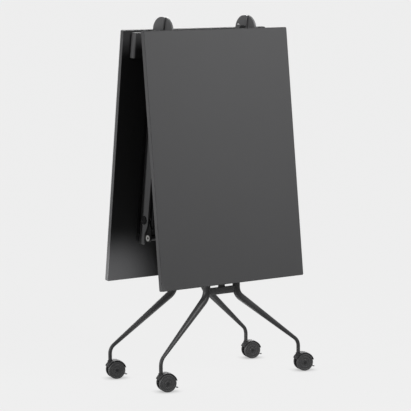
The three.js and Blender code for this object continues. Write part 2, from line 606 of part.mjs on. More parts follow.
// Brake pedal: an arm beside the hood's cheek, with a wide foot tab behind the wheels
function brakePedal() {
  const near = BRAKE_CHEEK - WEB_WIDTH / 2 + SIDE_GAP;
  const arm = strapShape([[BRAKE_PIVOT_X, BRAKE_PIVOT_Z, BRAKE_ARM_RADIUS],
    [BRAKE_TAB_NEAR, -BRAKE_TAB_DROP + BRAKE_TAB_THICKNESS / 2, BRAKE_TAB_THICKNESS / 2]]);
  const half = BRAKE_TAB_WIDTH / 2;
  const tab = box([CASTER_TRAIL + BRAKE_TAB_NEAR, -half, WHEEL_RADIUS - BRAKE_TAB_DROP],
    [CASTER_TRAIL + BRAKE_TAB_FAR, half, WHEEL_RADIUS - BRAKE_TAB_DROP + BRAKE_TAB_THICKNESS]);
  const hole = rod(BRAKE_PIN_RADIUS + RUNNING_GAP, -WEB_WIDTH, WEB_WIDTH, 'y',
    [CASTER_TRAIL + BRAKE_PIVOT_X, 0, WHEEL_RADIUS + BRAKE_PIVOT_Z]);
  return casterPlate(arm, near, WEB_WIDTH / 2).add(tab).subtract(hole);
}

// Assembly
const table = new THREE.Group();
const halves = [{ end: 'rear', facing: 1 }, { end: 'front', facing: -1 }];
const sideName = (x) => (x < 0 ? 'left' : 'right');

for (const { end, facing } of halves) {
  const half = new THREE.Group();
  half.rotation.z = facing > 0 ? 0 : Math.PI;
  table.add(half);
  const outer = sideName(-facing);
  const inner = sideName(facing);

  const top = new THREE.Group();
  top.position.z = HINGE_HEIGHT;
  top.rotation.x = FOLD_TILT - Math.PI / 2;
  half.add(top);
  addPiece(top, `${end}_tabletop`, tabletop(), laminate);
  addPiece(top, `${end}_edge_band`, edgeBand(), edging);
  addPiece(top, `${end}_arm_${outer}`, arm(OUTER_ARM), paint);
  addPiece(top, `${end}_arm_${inner}`, arm(INNER_ARM), paint);
  addPiece(top, `${end}_split_rail`, splitRail(), paint);

  addPiece(half, `${end}_leg_${outer}`, leg(-1), paint);
  addPiece(half, `${end}_leg_${inner}`, leg(1), paint);
  addPiece(half, `${end}_cross_bar`, crossBar(), paint);
  addPiece(half, `${end}_centre_post`, centrePost(), paint);
  addPiece(half, `${end}_head_tube`, headTube(), paint);
  addPiece(half, `${end}_head_bush_${outer}`, headBush(-1), nylon);
  addPiece(half, `${end}_head_bush_${inner}`, headBush(1), nylon);
  addPiece(half, `${end}_lever_${outer}`, linkedLeverPlate(), blackSteel);
  addPiece(half, `${end}_lever_${inner}`, leverPlate(INNER_LEVER), blackSteel);
  addPiece(half, `${end}_pivot_axle`, pivotAxle(), zinc);
  addPiece(half, `${end}_pivot_cap`, pivotCap(), plastic);
  addPiece(half, `${end}_link`, parallelLink(), blackSteel);

  addPiece(half, `hinge_pin_${outer}`, hingePin(), zinc);
  addPiece(half, `centre_lever_${outer}`, centreLever(), blackSteel);

  for (const side of [-1, 1]) {
    const caster = new THREE.Group();
    caster.position.set(facing * side * FOOT_SPREAD, facing * FOOT_REACH, 0);
    caster.rotation.z = CASTER_TURN;
    table.add(caster);
    const name = `${end}_${sideName(facing * side)}`;
    addPiece(caster, `${name}_hood`, hood(), plastic);
    addPiece(caster, `${name}_axle`, axle(), plastic);
    addPiece(caster, `${name}_near_wheel`, wheel(-1), tyre);
    addPiece(caster, `${name}_far_wheel`, wheel(1), tyre);
    addPiece(caster, `${name}_brake_pedal`, brakePedal(), plastic);
  }
}
addPiece(table, 'lift_bar', liftBar(), blackSteel);

export default table;
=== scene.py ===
"""Looks of a folding training table: fine shapes, finishes, fasteners, floor, light and camera.

Metres, +Z up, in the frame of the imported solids. Each half is drawn on the +Y side, lying flat
about the hinge or standing upright, and TOP and STAND put it in place. The front half is the rear
half turned half a turn about Z.
"""
import json
import math

import bmesh
import bpy
from mathutils import Matrix, Vector
from mathutils.geometry import convex_hull_2d


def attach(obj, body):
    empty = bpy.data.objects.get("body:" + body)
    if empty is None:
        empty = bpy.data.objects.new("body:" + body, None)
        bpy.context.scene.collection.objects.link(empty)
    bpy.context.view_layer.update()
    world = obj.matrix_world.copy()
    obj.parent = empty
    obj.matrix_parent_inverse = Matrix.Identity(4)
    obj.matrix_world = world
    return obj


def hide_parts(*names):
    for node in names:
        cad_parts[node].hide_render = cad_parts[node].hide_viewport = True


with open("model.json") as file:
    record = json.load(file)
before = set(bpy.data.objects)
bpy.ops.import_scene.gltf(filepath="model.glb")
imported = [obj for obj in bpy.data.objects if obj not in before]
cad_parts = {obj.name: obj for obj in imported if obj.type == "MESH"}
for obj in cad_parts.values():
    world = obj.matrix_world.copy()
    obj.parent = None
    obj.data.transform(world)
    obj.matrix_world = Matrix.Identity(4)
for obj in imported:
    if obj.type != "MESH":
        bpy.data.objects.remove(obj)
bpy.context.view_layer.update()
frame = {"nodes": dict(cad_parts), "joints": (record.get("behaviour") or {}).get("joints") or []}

# Places read from the frame
JOINTS = {joint["name"]: joint for joint in frame["joints"]}


def joint_place(name):
    return Vector(JOINTS[name]["pos_m"])


HINGE = joint_place("fold_rear")
PIVOT = joint_place("leg_rear")
LINK_TOP = joint_place("link_rear")
TILT = math.radians(90 - JOINTS["fold_rear"]["range_deg"][1])
HALF_TURN = Matrix.Rotation(math.pi, 4, "Z")
LAID = Matrix.Translation(HINGE) @ Matrix.Rotation(TILT - math.pi / 2, 4, "X")
STAND = {"rear": Matrix.Identity(4), "front": HALF_TURN}
TOP = {"rear": LAID, "front": HALF_TURN @ LAID}
ENDS = ("rear", "front")
OUTER_SIDE = {"rear": "left", "front": "right"}
INNER_SIDE = {"rear": "right", "front": "left"}

# Fits and edges that many pieces share
SEAT = 0.0003
SIDE_GAP = 0.0004
PLATE_EDGE = 0.0008
SMALL_EDGE = 0.0006
PIN_EDGE = 0.0010

# Half top
PANEL_LENGTH = 1.067
PANEL_WIDTH = 0.762
PANEL_THICKNESS = 0.019
PANEL_CORNER = 0.006
EDGE_BAND = 0.002
BAND_SEAM = 0.0003
BAND_ARRIS = 0.0009
BOARD_ARRIS = 0.0002
BACKER = 0.0010
SPLIT_GAP = 0.002
HINGE_DEPTH = 0.080
UNDERSIDE = HINGE_DEPTH - PANEL_THICKNESS

# Arm, drawn with the hinge axis at its origin
ARM_TOP = UNDERSIDE - SEAT
ARM_THICKNESS = 0.0088
ARM_INNER = 0.2120
ARM_OUTER = -0.2300
ARM_LENGTH = 0.915
ARM_WAIST = 0.024
ARM_SHOULDER = 0.026
ARM_EDGE = 0.0012
TAIL_RAMP = 0.034
TAIL_CLEARANCE = 0.0016
TAIL_EASE = 0.008
NOSE_DROP = 0.010
NOSE_END = math.pi + math.asin(NOSE_DROP / ARM_TOP)
# Lighter band round an outer arm's nose: a painted highlight on the nose's rim
NOSE_HIGHLIGHT = 0.0016
NOSE_HIGHLIGHT_START = math.radians(100)
NOSE_HIGHLIGHT_EDGE = 0.0003
NOSE_HIGHLIGHT_GAP = math.radians(0.4)
NOSE_SCREW_PLACE = (-0.0153, 0.0420)
HINGE_BORE = 0.0053
PIVOT_BORE = 0.0063
PIVOT_ALONG = 0.808
PIVOT_RISE = 0.033
FLANGE_WIDTH = 0.036
FLANGE_THICKNESS = 0.003
FLANGE_INSET = 0.010
FLANGE_CORNER = 0.006
FLANGE_SCREWS = 5
FLANGE_SCREW_INSET = 0.030
FLANGE_SCREW_SPREAD = 0.0112

# Rail along the split edge
RAIL_DEPTH = 0.026
RAIL_SETBACK = 0.009
RAIL_WIDTH = 0.106
RAIL_END_INSET = 0.041
RAIL_NOTCH_CLEARANCE = 0.003
RAIL_CORNER = 0.014
# Share of each rounded end coloured lighter, painted light on the rail's ends
RAIL_LIT_END_SHARE = 0.67

# Button screws: each size is a head's radius and height, and the rest are shares of these
FLANGE_SCREW_SIZE = (0.0042, 0.0022)
NOSE_SCREW_SIZE = (0.0042, 0.0024)
SCREW_LEVELS = (0.35, 0.7, 1.0)
SCREW_CROWN = 0.42
SCREW_SOCKET = 0.5
SCREW_SOCKET_FLOOR = 0.45

# Leg frame
LEG_SPREAD = 0.080
LEG_RADIUS = 0.016
LEG_FOOT_RADIUS = 0.008
LEG_KNEE_HEIGHT = 0.358
LEG_ANKLE_HEIGHT = 0.131
LEG_KNEE_TANGENT = 0.030
LEG_ANKLE_TANGENT = 0.024
LEG_FOOT_EASE = 0.001
HEAD_DROP = 0.078
HEAD_INSET = 0.012
HEAD = PIVOT - Vector((0, HEAD_INSET, HEAD_DROP))
HEAD_RADIUS = 0.0125
HEAD_WALL = 0.002
HEAD_LENGTH = 0.436
BUSH_FLANGE = 0.003
BUSH_BORE = 0.0055
BUSH_PLUG_RECESS = 0.0015
BUSH_DEPTH = 0.014
BUSH_EDGE = 0.0009
CROSS_BAR_HEIGHT = 0.378
CROSS_BAR_DEPTH = 0.030
CROSS_BAR_WIDTH = 0.016
CROSS_BAR_SLOPE = 0.015
CROSS_BAR_EDGE = 0.0012
CENTRE_POST_EDGE = 0.0010
LEVER_THICKNESS = 0.008
LEVER_PIVOT_RADIUS = 0.017
LEVER_HEAD_RADIUS = 0.018
PIVOT_AXLE_RADIUS = 0.006
PIVOT_AXLE_OVERHANG = 0.008
PIVOT_CAP_RADIUS = 0.018
PIVOT_CAP_HEIGHT = 0.006
PIVOT_DISH_RADIUS = PIVOT_CAP_RADIUS * 0.62
PIVOT_DISH_DEPTH = 0.0016
PIVOT_EDGE = 0.0012

# Parallel link and centre frame
LINK_THICKNESS = 0.0052
LINK_WIDTH = 0.016
LINK_EYE_RADIUS = 0.011
LINK_PIN_RADIUS = 0.004
LINK_BORE = 0.0043
LINK_FACE = ARM_INNER - SIDE_GAP
LINK_FOOT = LINK_TOP + PIVOT - HINGE
CENTRE_LEVER_THICKNESS = 0.008
CENTRE_LEVER_RADIUS = 0.017
CENTRE_LEVER_FACE = LINK_FACE - LINK_THICKNESS - SIDE_GAP
LIFT_BAR_DROP = 0.075
LIFT_BAR_RADIUS = 0.010
LIFT_BAR_EYE = 0.015
HINGE_PIN_RADIUS = 0.005
HINGE_PIN_OVERHANG = 0.0025
HINGE_HEAD_RADIUS = 0.008
HINGE_HEAD_HEIGHT = 0.003

# Caster, drawn with its swivel axis at the origin, trailing towards +X
CASTERS = ("rear_left", "rear_right", "front_left", "front_right")
WHEEL_RADIUS = joint_place("rear_left_near_roll").z
CASTER_TRAIL = (joint_place("rear_left_near_roll") - joint_place("rear_left_swivel")).xy.length
AXLE_PLACE = Vector((CASTER_TRAIL, 0, WHEEL_RADIUS))
AXLE_RADIUS = 0.004
AXLE_HEAD_RADIUS = 0.0065
AXLE_HEAD_HEIGHT = 0.0016
AXLE_BORE = AXLE_RADIUS + SEAT
WHEEL_INSIDE = 0.007
WHEEL_OUTSIDE = 0.024
SHADED_TREAD_DEPTH = 0.0058
SHADED_TREAD_SHOULDER = 0.0028
SHADED_TREAD_FLAT = 0.0020
SHADED_TREAD_EDGE = 0.0010
TREAD_CROWN = 0.0004
COVER_SHOULDER = 0.0026
COVER_SHOULDER_WIDTH = 0.0050
COVER_EDGE = 0.0004
# Rings of the cover's face: radius, and depth below the wheel's outer side
COVER_RINGS = (
    (0.0312, 0.0000), (0.0304, 0.0006), (0.0285, 0.0006), (0.0278, 0.0015), (0.0262, 0.0015),
    (0.0255, 0.0006), (0.0185, 0.0003), (0.0175, 0.0016), (0.0125, 0.0016), (0.0115, 0.0002),
    (0.0090, 0.0002), (AXLE_BORE, 0.0002),
)
HOOD_CLEARANCE = 0.0016
HOOD_THICKNESS = 0.003
HOOD_OVERHANG = 0.002
HOOD_CROWN = 0.0007
HOOD_EDGE = 0.0011
HOOD_INNER = WHEEL_RADIUS + HOOD_CLEARANCE
HOOD_OUTER = HOOD_INNER + HOOD_THICKNESS
HOOD_MIDDLE = (HOOD_INNER + HOOD_OUTER) / 2
HOOD_HALF = WHEEL_OUTSIDE - HOOD_OVERHANG
HOOD_START = math.radians(14)
HOOD_END = math.radians(158)
WEB_HALF = 0.0055
WEB_RADIUS = 0.016
WEB_START = math.radians(50)
SOCKET_RADIUS = 0.011
SOCKET_EASE = 0.0015
SOCKET_MOUTH = 0.5
STEM_HEIGHT = 0.079
STEM_BORE = 0.0053
STEM_PIN_RADIUS = 0.005
STEM_PIN_LENGTH = 0.026
STEM_PIN_SINK = 0.004
BRAKE_PIVOT = (0.031, 0.010)
BRAKE_PIN_RADIUS = 0.0025
BRAKE_ARM_RADIUS = 0.005
BRAKE_CHEEK = 0.004
BRAKE_TAB = (0.0395, 0.0475)
BRAKE_TAB_DROP = 0.022
BRAKE_TAB_THICKNESS = 0.004
BRAKE_TAB_WIDTH = 0.030
BRAKE_TAB_CORNER = 0.0025
BRAKE_TAB_EDGE = 0.0012

# Smoothness: steps of each kind of curve
ROUND = 48
SMALL_ROUND = 24
WHEEL_ROUND = 72
BEND = 12
CORNER = 8
EASE = 4
BEVEL = 2

# An ease takes up less than half of a side, a ring under this radius is a point, and faces that
# meet at these angles count as one face or as an edge
EASE_LIMIT = 2.1
POINT_RADIUS = SEAT / 10
FLAT_ANGLE = math.radians(1)
SHARP_ANGLE = math.radians(32)

# Planes to draw in: X and Y of a drawing become Y and Z, or Z and X
SIDE_VIEW = Matrix(((0, 0, 1, 0), (1, 0, 0, 0), (0, 1, 0, 0), (0, 0, 0, 1)))
ALONG_Y = Matrix(((0, 1, 0, 0), (0, 0, 1, 0), (1, 0, 0, 0), (0, 0, 0, 1)))


# Finishes: a node material for each material slot of the record, and some for single pieces

GRAIN_DETAIL = 3.0
GRAIN_RELIEF = 0.0002
CLOUD_DETAIL = 5.0
CLOUD_ROUGHNESS = 0.6
EDGE_WEAR_AND_HIGHLIGHT_POINTINESS = (0.52, 0.62)
GLOSS_NOISE = (0.6, 1.4)
WHITE = (1, 1, 1)

# Sockets of a Mix node that mixes colours
MIX_SHARE, MIX_FIRST, MIX_SECOND, MIX_RESULT = 0, 6, 7, 2


def add_node(tree, kind, inputs, **settings):
    node = tree.nodes.new(kind)
    for key, value in settings.items():
        setattr(node, key, value)
    for key, value in inputs.items():
        if isinstance(value, bpy.types.NodeSocket):
            tree.links.new(value, node.inputs[key])
        else:
            node.inputs[key].default_value = value
    return node


def blended(tree, share, first, second, how="MIX"):
    inputs = {MIX_SHARE: share, MIX_FIRST: first, MIX_SECOND: second}
    node = add_node(tree, "ShaderNodeMix", inputs, data_type="RGBA", blend_type=how)
    return node.outputs[MIX_RESULT]


def calculated(tree, operation, first, second):
    node = add_node(tree, "ShaderNodeMath", {0: first, 1: second}, operation=operation)
    return node.outputs[0]


def mapped(tree, value, source, target):
    """Value taken from one range to another, and held at its limits."""
    inputs = {"Value": value, "From Min": source[0], "From Max": source[1],
              "To Min": target[0], "To Max": target[1]}
    return add_node(tree, "ShaderNodeMapRange", inputs).outputs["Result"]


def shade(colour, factor=1):
    return (*(channel * factor for channel in colour), 1)


def grey(tone):
    return (tone, tone, tone, 1)


def surface(name, colour, roughness, grain, bump, cloud=7.0, mottling=0.10, spread=0.08,
            stretch=(1, 1, 1), metallic=0.0, edge_wear_and_highlight=0.0, edge_wear_and_highlight_tone=0.3, specular=0.5):
    """Principled finish: fine grain in bump and gloss, faint clouds in colour, and lighter convex
    edges that are wear, and on the wheel's tread a painted highlight.
    """
    material = bpy.data.materials.new(name)
    material.use_nodes = True
    tree = material.node_tree
    shader = tree.nodes["Principled BSDF"]
    shader.inputs["Metallic"].default_value = metallic
    shader.inputs["Specular IOR Level"].default_value = specular
    place = add_node(tree, "ShaderNodeTexCoord", {}).outputs["Object"]
    stretched = add_node(tree, "ShaderNodeMapping", {"Vector": place, "Scale": stretch}).outputs[0]
    fine = add_node(tree, "ShaderNodeTexNoise",
                    {"Vector": stretched, "Scale": grain, "Detail": GRAIN_DETAIL}).outputs["Fac"]
    cloudy = add_node(tree, "ShaderNodeTexNoise",
                      {"Vector": place, "Scale": cloud, "Detail": CLOUD_DETAIL,
                       "Roughness": CLOUD_ROUGHNESS}).outputs["Fac"]
    tint = blended(tree, cloudy, shade(colour, 1 - mottling), shade(colour, 1 + mottling))
    speck = blended(tree, fine, shade(WHITE, 1 - mottling), shade(WHITE, 1 + mottling))
    grained = blended(tree, 1.0, tint, speck, "MULTIPLY")
    # Lighter convex edges: wear, and where the amount is large a painted highlight
    edge = add_node(tree, "ShaderNodeNewGeometry", {}).outputs["Pointiness"]
    edge_wear_and_highlight_share = mapped(tree, edge, EDGE_WEAR_AND_HIGHLIGHT_POINTINESS, (0.0, edge_wear_and_highlight))
    tree.links.new(blended(tree, edge_wear_and_highlight_share, grained, grey(edge_wear_and_highlight_tone)), shader.inputs["Base Color"])
    noise = calculated(tree, "ADD", fine, cloudy)
    gloss = mapped(tree, noise, GLOSS_NOISE, (roughness - spread, roughness + spread))
    tree.links.new(gloss, shader.inputs["Roughness"])
    relief = add_node(tree, "ShaderNodeBump",
                      {"Height": fine, "Strength": bump, "Distance": GRAIN_RELIEF})
    tree.links.new(relief.outputs[0], shader.inputs["Normal"])
    return material


LOOKS = {
    "laminate_board": dict(colour=(0.088, 0.088, 0.090), roughness=0.62, grain=1500, bump=0.08,
                           cloud=4, mottling=0.05, specular=0.10),
    # Backing sheet: near-black, painted shade for the inside of the folded table
    "painted_shade_backing": dict(colour=(0.032, 0.032, 0.033), roughness=0.66, grain=1200, bump=0.08,
                          cloud=4, mottling=0.07, specular=0.08),
    "edge_band": dict(colour=(0.090, 0.090, 0.092), roughness=0.65, grain=900, bump=0.10,
                      edge_wear_and_highlight=0.04, edge_wear_and_highlight_tone=0.22, specular=0.06),
    "painted_casting": dict(colour=(0.082, 0.082, 0.084), roughness=0.44, grain=1100, bump=0.08,
                            edge_wear_and_highlight=0.12, edge_wear_and_highlight_tone=0.16, specular=0.28),
    # Legs: a darker copy of the castings' paint, painted shade on the legs
    "shaded_leg_paint": dict(colour=(0.038, 0.038, 0.039), roughness=0.46, grain=1100, bump=0.03,
                      edge_wear_and_highlight=0.10, edge_wear_and_highlight_tone=0.14, specular=0.30),
    # Near-black steel: the own colour of the pivot buttons and rings, hinge bolts and brake levers,
    # and painted shade on the flanges and their screws, the levers, links, centre levers, lift bar,
    # hood webs and the plugs in the bushes
    "black_steel": dict(colour=(0.011, 0.011, 0.0115), roughness=0.48, grain=1300, bump=0.08,
                        edge_wear_and_highlight=0.08, edge_wear_and_highlight_tone=0.06, specular=0.15),
    "pale_nylon": dict(colour=(0.42, 0.42, 0.41), roughness=0.50, grain=800, bump=0.05,
                       cloud=40, mottling=0.05, specular=0.35),
    "painted_steel": dict(colour=(0.028, 0.028, 0.029), roughness=0.46, grain=1300, bump=0.08,
                          edge_wear_and_highlight=0.10, edge_wear_and_highlight_tone=0.12, specular=0.22),
    "zinc_steel": dict(colour=(0.62, 0.62, 0.63), roughness=0.30, grain=700, bump=0.10,
                       cloud=60, mottling=0.12, stretch=(8, 1, 1), metallic=1.0),
    # Dull zinc: the pivot rods' own colour, and on the outer arms' noses a painted highlight
    "worn_zinc_and_highlight": dict(colour=(0.18, 0.18, 0.183), roughness=0.68, grain=900, bump=0.08,
                      cloud=50, mottling=0.12, metallic=0.2, specular=0.10),
    "black_plastic": dict(colour=(0.052, 0.052, 0.053), roughness=0.48, grain=1900, bump=0.07,
                          edge_wear_and_highlight=0.12, edge_wear_and_highlight_tone=0.12, specular=0.35),
    "hood_plastic": dict(colour=(0.045, 0.045, 0.046), roughness=0.60, grain=1900, bump=0.07,
                         edge_wear_and_highlight=0.10, edge_wear_and_highlight_tone=0.10, specular=0.06),
    # Wheel: near-black, painted shade on the inner half of each tread between the two wheels; its
    # strong edge lightening is a painted highlight on the tread's edges
    "wheel": dict(colour=(0.012, 0.012, 0.0125), roughness=0.55, grain=1200, bump=0.05,
                  cloud=35, mottling=0.14, edge_wear_and_highlight=0.3, edge_wear_and_highlight_tone=0.14, specular=0.10),
}
FINISHES = {name: surface(name, **look) for name, look in LOOKS.items()}


# Mesh building

def circle(centre, radius, steps=ROUND):
    return [(centre[0] + radius * math.cos(math.tau * step / steps),
             centre[1] + radius * math.sin(math.tau * step / steps)) for step in range(steps)]


def arc(centre, radius, start, end, steps=BEND):
    angles = [start + (end - start) * step / steps for step in range(steps + 1)]
    return [(centre[0] + radius * math.cos(angle), centre[1] + radius * math.sin(angle))
            for angle in angles]


def rounded_rectangle(low, high, radius):
    (left, near), (right, far) = low, high
    quarter = math.pi / 2
    corners = ((right - radius, far - radius), (left + radius, far - radius),
               (left + radius, near + radius), (right - radius, near + radius))
    return [point for turn, corner in enumerate(corners)
            for point in arc(corner, radius, turn * quarter, (turn + 1) * quarter, CORNER)]


def strap(circles):
    """Outline stretched tightly round a few circles, each given as its centre and radius."""
    points = [point for x, y, radius in circles for point in circle((x, y), radius)]
    return [points[index] for index in convex_hull_2d(points)]


def eased(points, ease, closed=True):
    """Outline with each corner replaced by a short curve."""
    result = []
    count = len(points)
    for order, point in enumerate(points):
        here = Vector(point)
        if not closed and order in (0, count - 1):
            result.append(tuple(here))
            continue
        back = Vector(points[order - 1]) - here
        ahead = Vector(points[(order + 1) % count]) - here
        reach = min(ease, back.length / EASE_LIMIT, ahead.length / EASE_LIMIT)
        first = here + back.normalized() * reach
        last = here + ahead.normalized() * reach
        for step in range(EASE + 1):
            share = step / EASE
            result.append(tuple(first.lerp(here, share).lerp(here.lerp(last, share), share)))
    return result


def facing(profile, sign):
    """Profile of a turned piece, or its mirror image where the sign is -1."""
    return [(radius, sign * height) for radius, height in profile]


def area(loop):
    return sum(a[0] * b[1] - b[0] * a[1] for a, b in zip(loop, loop[1:] + loop[:1])) / 2


def moved_in(loop, inset):
    """Closed outline moved to its left by mitred corners."""
    result = []
    for order, point in enumerate(loop):
        here = Vector(point)
        first = (here - Vector(loop[order - 1])).normalized()
        second = (Vector(loop[(order + 1) % len(loop)]) - here).normalized()
        aside = Vector((-first.y - second.y, first.x + second.x))
        result.append(here + aside * (inset / (1 + first.dot(second))))
    return result


def add_ring_faces(bm, low, high):
    """Band of faces between two rings, either of which may be a single point."""
    for step in range(max(len(low), len(high))):
        after = step + 1
        corners = (low[step % len(low)], low[after % len(low)],
                   high[after % len(high)], high[step % len(high)])
        bm.faces.new(dict.fromkeys(corners))


def add_plate(bm, outline, holes, depth, matrix, edge):
    """Plate from z 0 to depth, with every edge rounded over."""
    soft = edge * (1 - math.sqrt(0.5))
    layers = [(0, edge), (soft, soft), (edge, 0),
              (depth - edge, 0), (depth - soft, soft), (depth, edge)]
    loops = [outline if area(outline) > 0 else outline[::-1]]
    loops += [hole[::-1] if area(hole) > 0 else hole for hole in holes]
    rims = ([], [])
    for loop in loops:
        rings = [[bm.verts.new(matrix @ Vector((*point, height)))
                  for point in moved_in(loop, inset)] for height, inset in layers]
        for low, high in zip(rings, rings[1:]):
            add_ring_faces(bm, low, high)
        for rim, ring in zip(rims, (rings[0], rings[-1])):
            rim.extend(bm.edges.get((ring[step - 1], ring[step])) for step in range(len(ring)))
    for rim in rims:
        bmesh.ops.triangle_fill(bm, use_beauty=True, use_dissolve=False, edges=rim)


def add_turned(bm, profile, matrix, steps=ROUND, closed=False):
    """Piece turned about its Z axis from pairs of radius and height."""
    rings = []
    for radius, height in profile:
        ring = [(0, 0)] if radius < POINT_RADIUS else circle((0, 0), radius, steps)
        rings.append([bm.verts.new(matrix @ Vector((x, y, height))) for x, y in ring])
    if closed:
        rings.append(rings[0])
    for low, high in zip(rings, rings[1:]):
        add_ring_faces(bm, low, high)


def add_rod(bm, radius, low, high, matrix, ease=SEAT, steps=ROUND):
    """Round bar along its Z axis, with eased ends."""
    profile = [(0, low), (radius, low), (radius, high), (0, high)]
    add_turned(bm, eased(profile, ease, closed=False), matrix, steps)


def add_swept(bm, rings):
    """Closed skin over a row of rings, with flat ends."""
    made = [[bm.verts.new(point) for point in ring] for ring in rings]
    for low, high in zip(made, made[1:]):
        add_ring_faces(bm, low, high)
    bm.faces.new(made[0])
    bm.faces.new(made[-1])


def add_screw(bm, matrix, size):
    """Button head with a six-sided socket, standing along its Z axis."""
    radius, height = size
    rings = [[(x, y, 0) for x, y in circle((0, 0), radius, SMALL_ROUND)]]
    for share in SCREW_LEVELS:
        lean = radius * (1 - SCREW_CROWN * share * share)
        rings.append([(x, y, height * share) for x, y in circle((0, 0), lean, SMALL_ROUND)])
    flat = math.pi / 3
    for depth in (height, height * SCREW_SOCKET_FLOOR):
        ring = []
        for step in range(SMALL_ROUND):
            angle = math.tau * step / SMALL_ROUND
            reach = radius * SCREW_SOCKET * math.cos(flat / 2) / math.cos(angle % flat - flat / 2)
            ring.append((reach * math.cos(angle), reach * math.sin(angle), depth))
        rings.append(ring)
    add_swept(bm, [[matrix @ Vector(point) for point in ring] for ring in rings])


def dress(name, bm, slot, body, *nodes, finish=None):
    """Turns the mesh into a piece that rides on a body and stands for the solids named."""
    bmesh.ops.recalc_face_normals(bm, faces=bm.faces)
    mesh = bpy.data.meshes.new(name)
    bm.to_mesh(mesh)
    bm.free()
    mesh.shade_smooth()
    mesh.set_sharp_from_angle(angle=SHARP_ANGLE)
    mesh.materials.append(FINISHES[finish or slot])
    piece = bpy.data.objects.new(name, mesh)
    bpy.context.scene.collection.objects.link(piece)
    piece.modifiers.new("even_normals", "WEIGHTED_NORMAL").keep_sharp = True
    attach(piece, body)
    if nodes:
        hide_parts(*nodes)


def keep_solid(node, slot, edge):
    """A solid that keeps its own shape gets softened edges and its finish."""
    solid = frame["nodes"][node]
    solid.data.materials.clear()
    solid.data.materials.append(FINISHES[slot])
    merged = solid.modifiers.new("flat_faces", "DECIMATE")
    merged.decimate_type = "DISSOLVE"
    merged.angle_limit = FLAT_ANGLE
    softened = solid.modifiers.new("soft_edges", "BEVEL")
    softened.width = edge
    softened.segments = BEVEL
    softened.limit_method = "ANGLE"
    softened.angle_limit = SHARP_ANGLE
    solid.modifiers.new("even_normals", "WEIGHTED_NORMAL").keep_sharp = True


# Half tops

def board_outline(inset):
    low = (-PANEL_WIDTH / 2 + inset, SPLIT_GAP / 2 + inset)
    high = (PANEL_WIDTH / 2 - inset, SPLIT_GAP / 2 + PANEL_LENGTH - inset)
    return rounded_rectangle(low, high, PANEL_CORNER - inset)


def make_board(end):
    """Board with its backing sheet, the sheet coloured near-black as painted shade, inside an
    edging that stands a seam away from both.
    """
    body = f"{end}_top"
    under = TOP[end] @ Matrix.Translation((0, 0, UNDERSIDE))
    above = under @ Matrix.Translation((0, 0, BACKER))
    outline = board_outline(EDGE_BAND + BAND_SEAM)
    bm = bmesh.new()
    add_plate(bm, outline, [], PANEL_THICKNESS - BACKER, above, BOARD_ARRIS)
    dress(f"{end}_board", bm, "laminate_board", body, f"{end}_tabletop")
    bm = bmesh.new()
    add_plate(bm, outline, [], BACKER, under, BOARD_ARRIS)
    # The backing sheet's near-black colour is painted shade for the inside of the folded table
    dress(f"{end}_backing", bm, "laminate_board", body, finish="painted_shade_backing")
    bm = bmesh.new()
    hole = board_outline(EDGE_BAND)
    add_plate(bm, board_outline(0), [hole], PANEL_THICKNESS, under, BAND_ARRIS)
    dress(f"{end}_edging", bm, "edge_band", body, f"{end}_edge_band")


def arm_outline(highlighted):
    """Side view of an arm, its nose cut back where a lighter band paints a highlight round it."""
    head_rise = PIVOT_RISE - HEAD_INSET * math.cos(TILT) - HEAD_DROP * math.sin(TILT)
    tail = head_rise + HEAD_RADIUS + TAIL_CLEARANCE
    shoulder = PIVOT_ALONG + ARM_SHOULDER
    rail_near = RAIL_SETBACK - SEAT
    rail_far = RAIL_SETBACK + RAIL_WIDTH + SEAT
    rail_low = ARM_TOP - RAIL_DEPTH - SEAT
    nose = arc((0, 0), ARM_TOP, math.pi / 2, NOSE_HIGHLIGHT_START)
    if highlighted:
        nose += arc((0, 0), ARM_TOP - NOSE_HIGHLIGHT - BAND_SEAM, NOSE_HIGHLIGHT_START, NOSE_END, ROUND)
    else:
        nose += arc((0, 0), ARM_TOP, NOSE_HIGHLIGHT_START, NOSE_END, ROUND)[1:]
    lower = eased([nose[-1], (shoulder, PIVOT_RISE - ARM_WAIST), (shoulder + TAIL_RAMP, tail),
                   (ARM_LENGTH, tail), (ARM_LENGTH, ARM_TOP), (rail_far, ARM_TOP)],
                  TAIL_EASE, closed=False)
    rail_slot = [(rail_far, rail_low), (rail_near, rail_low), (rail_near, ARM_TOP)]
    return [*lower, *rail_slot, *nose[:-1]]


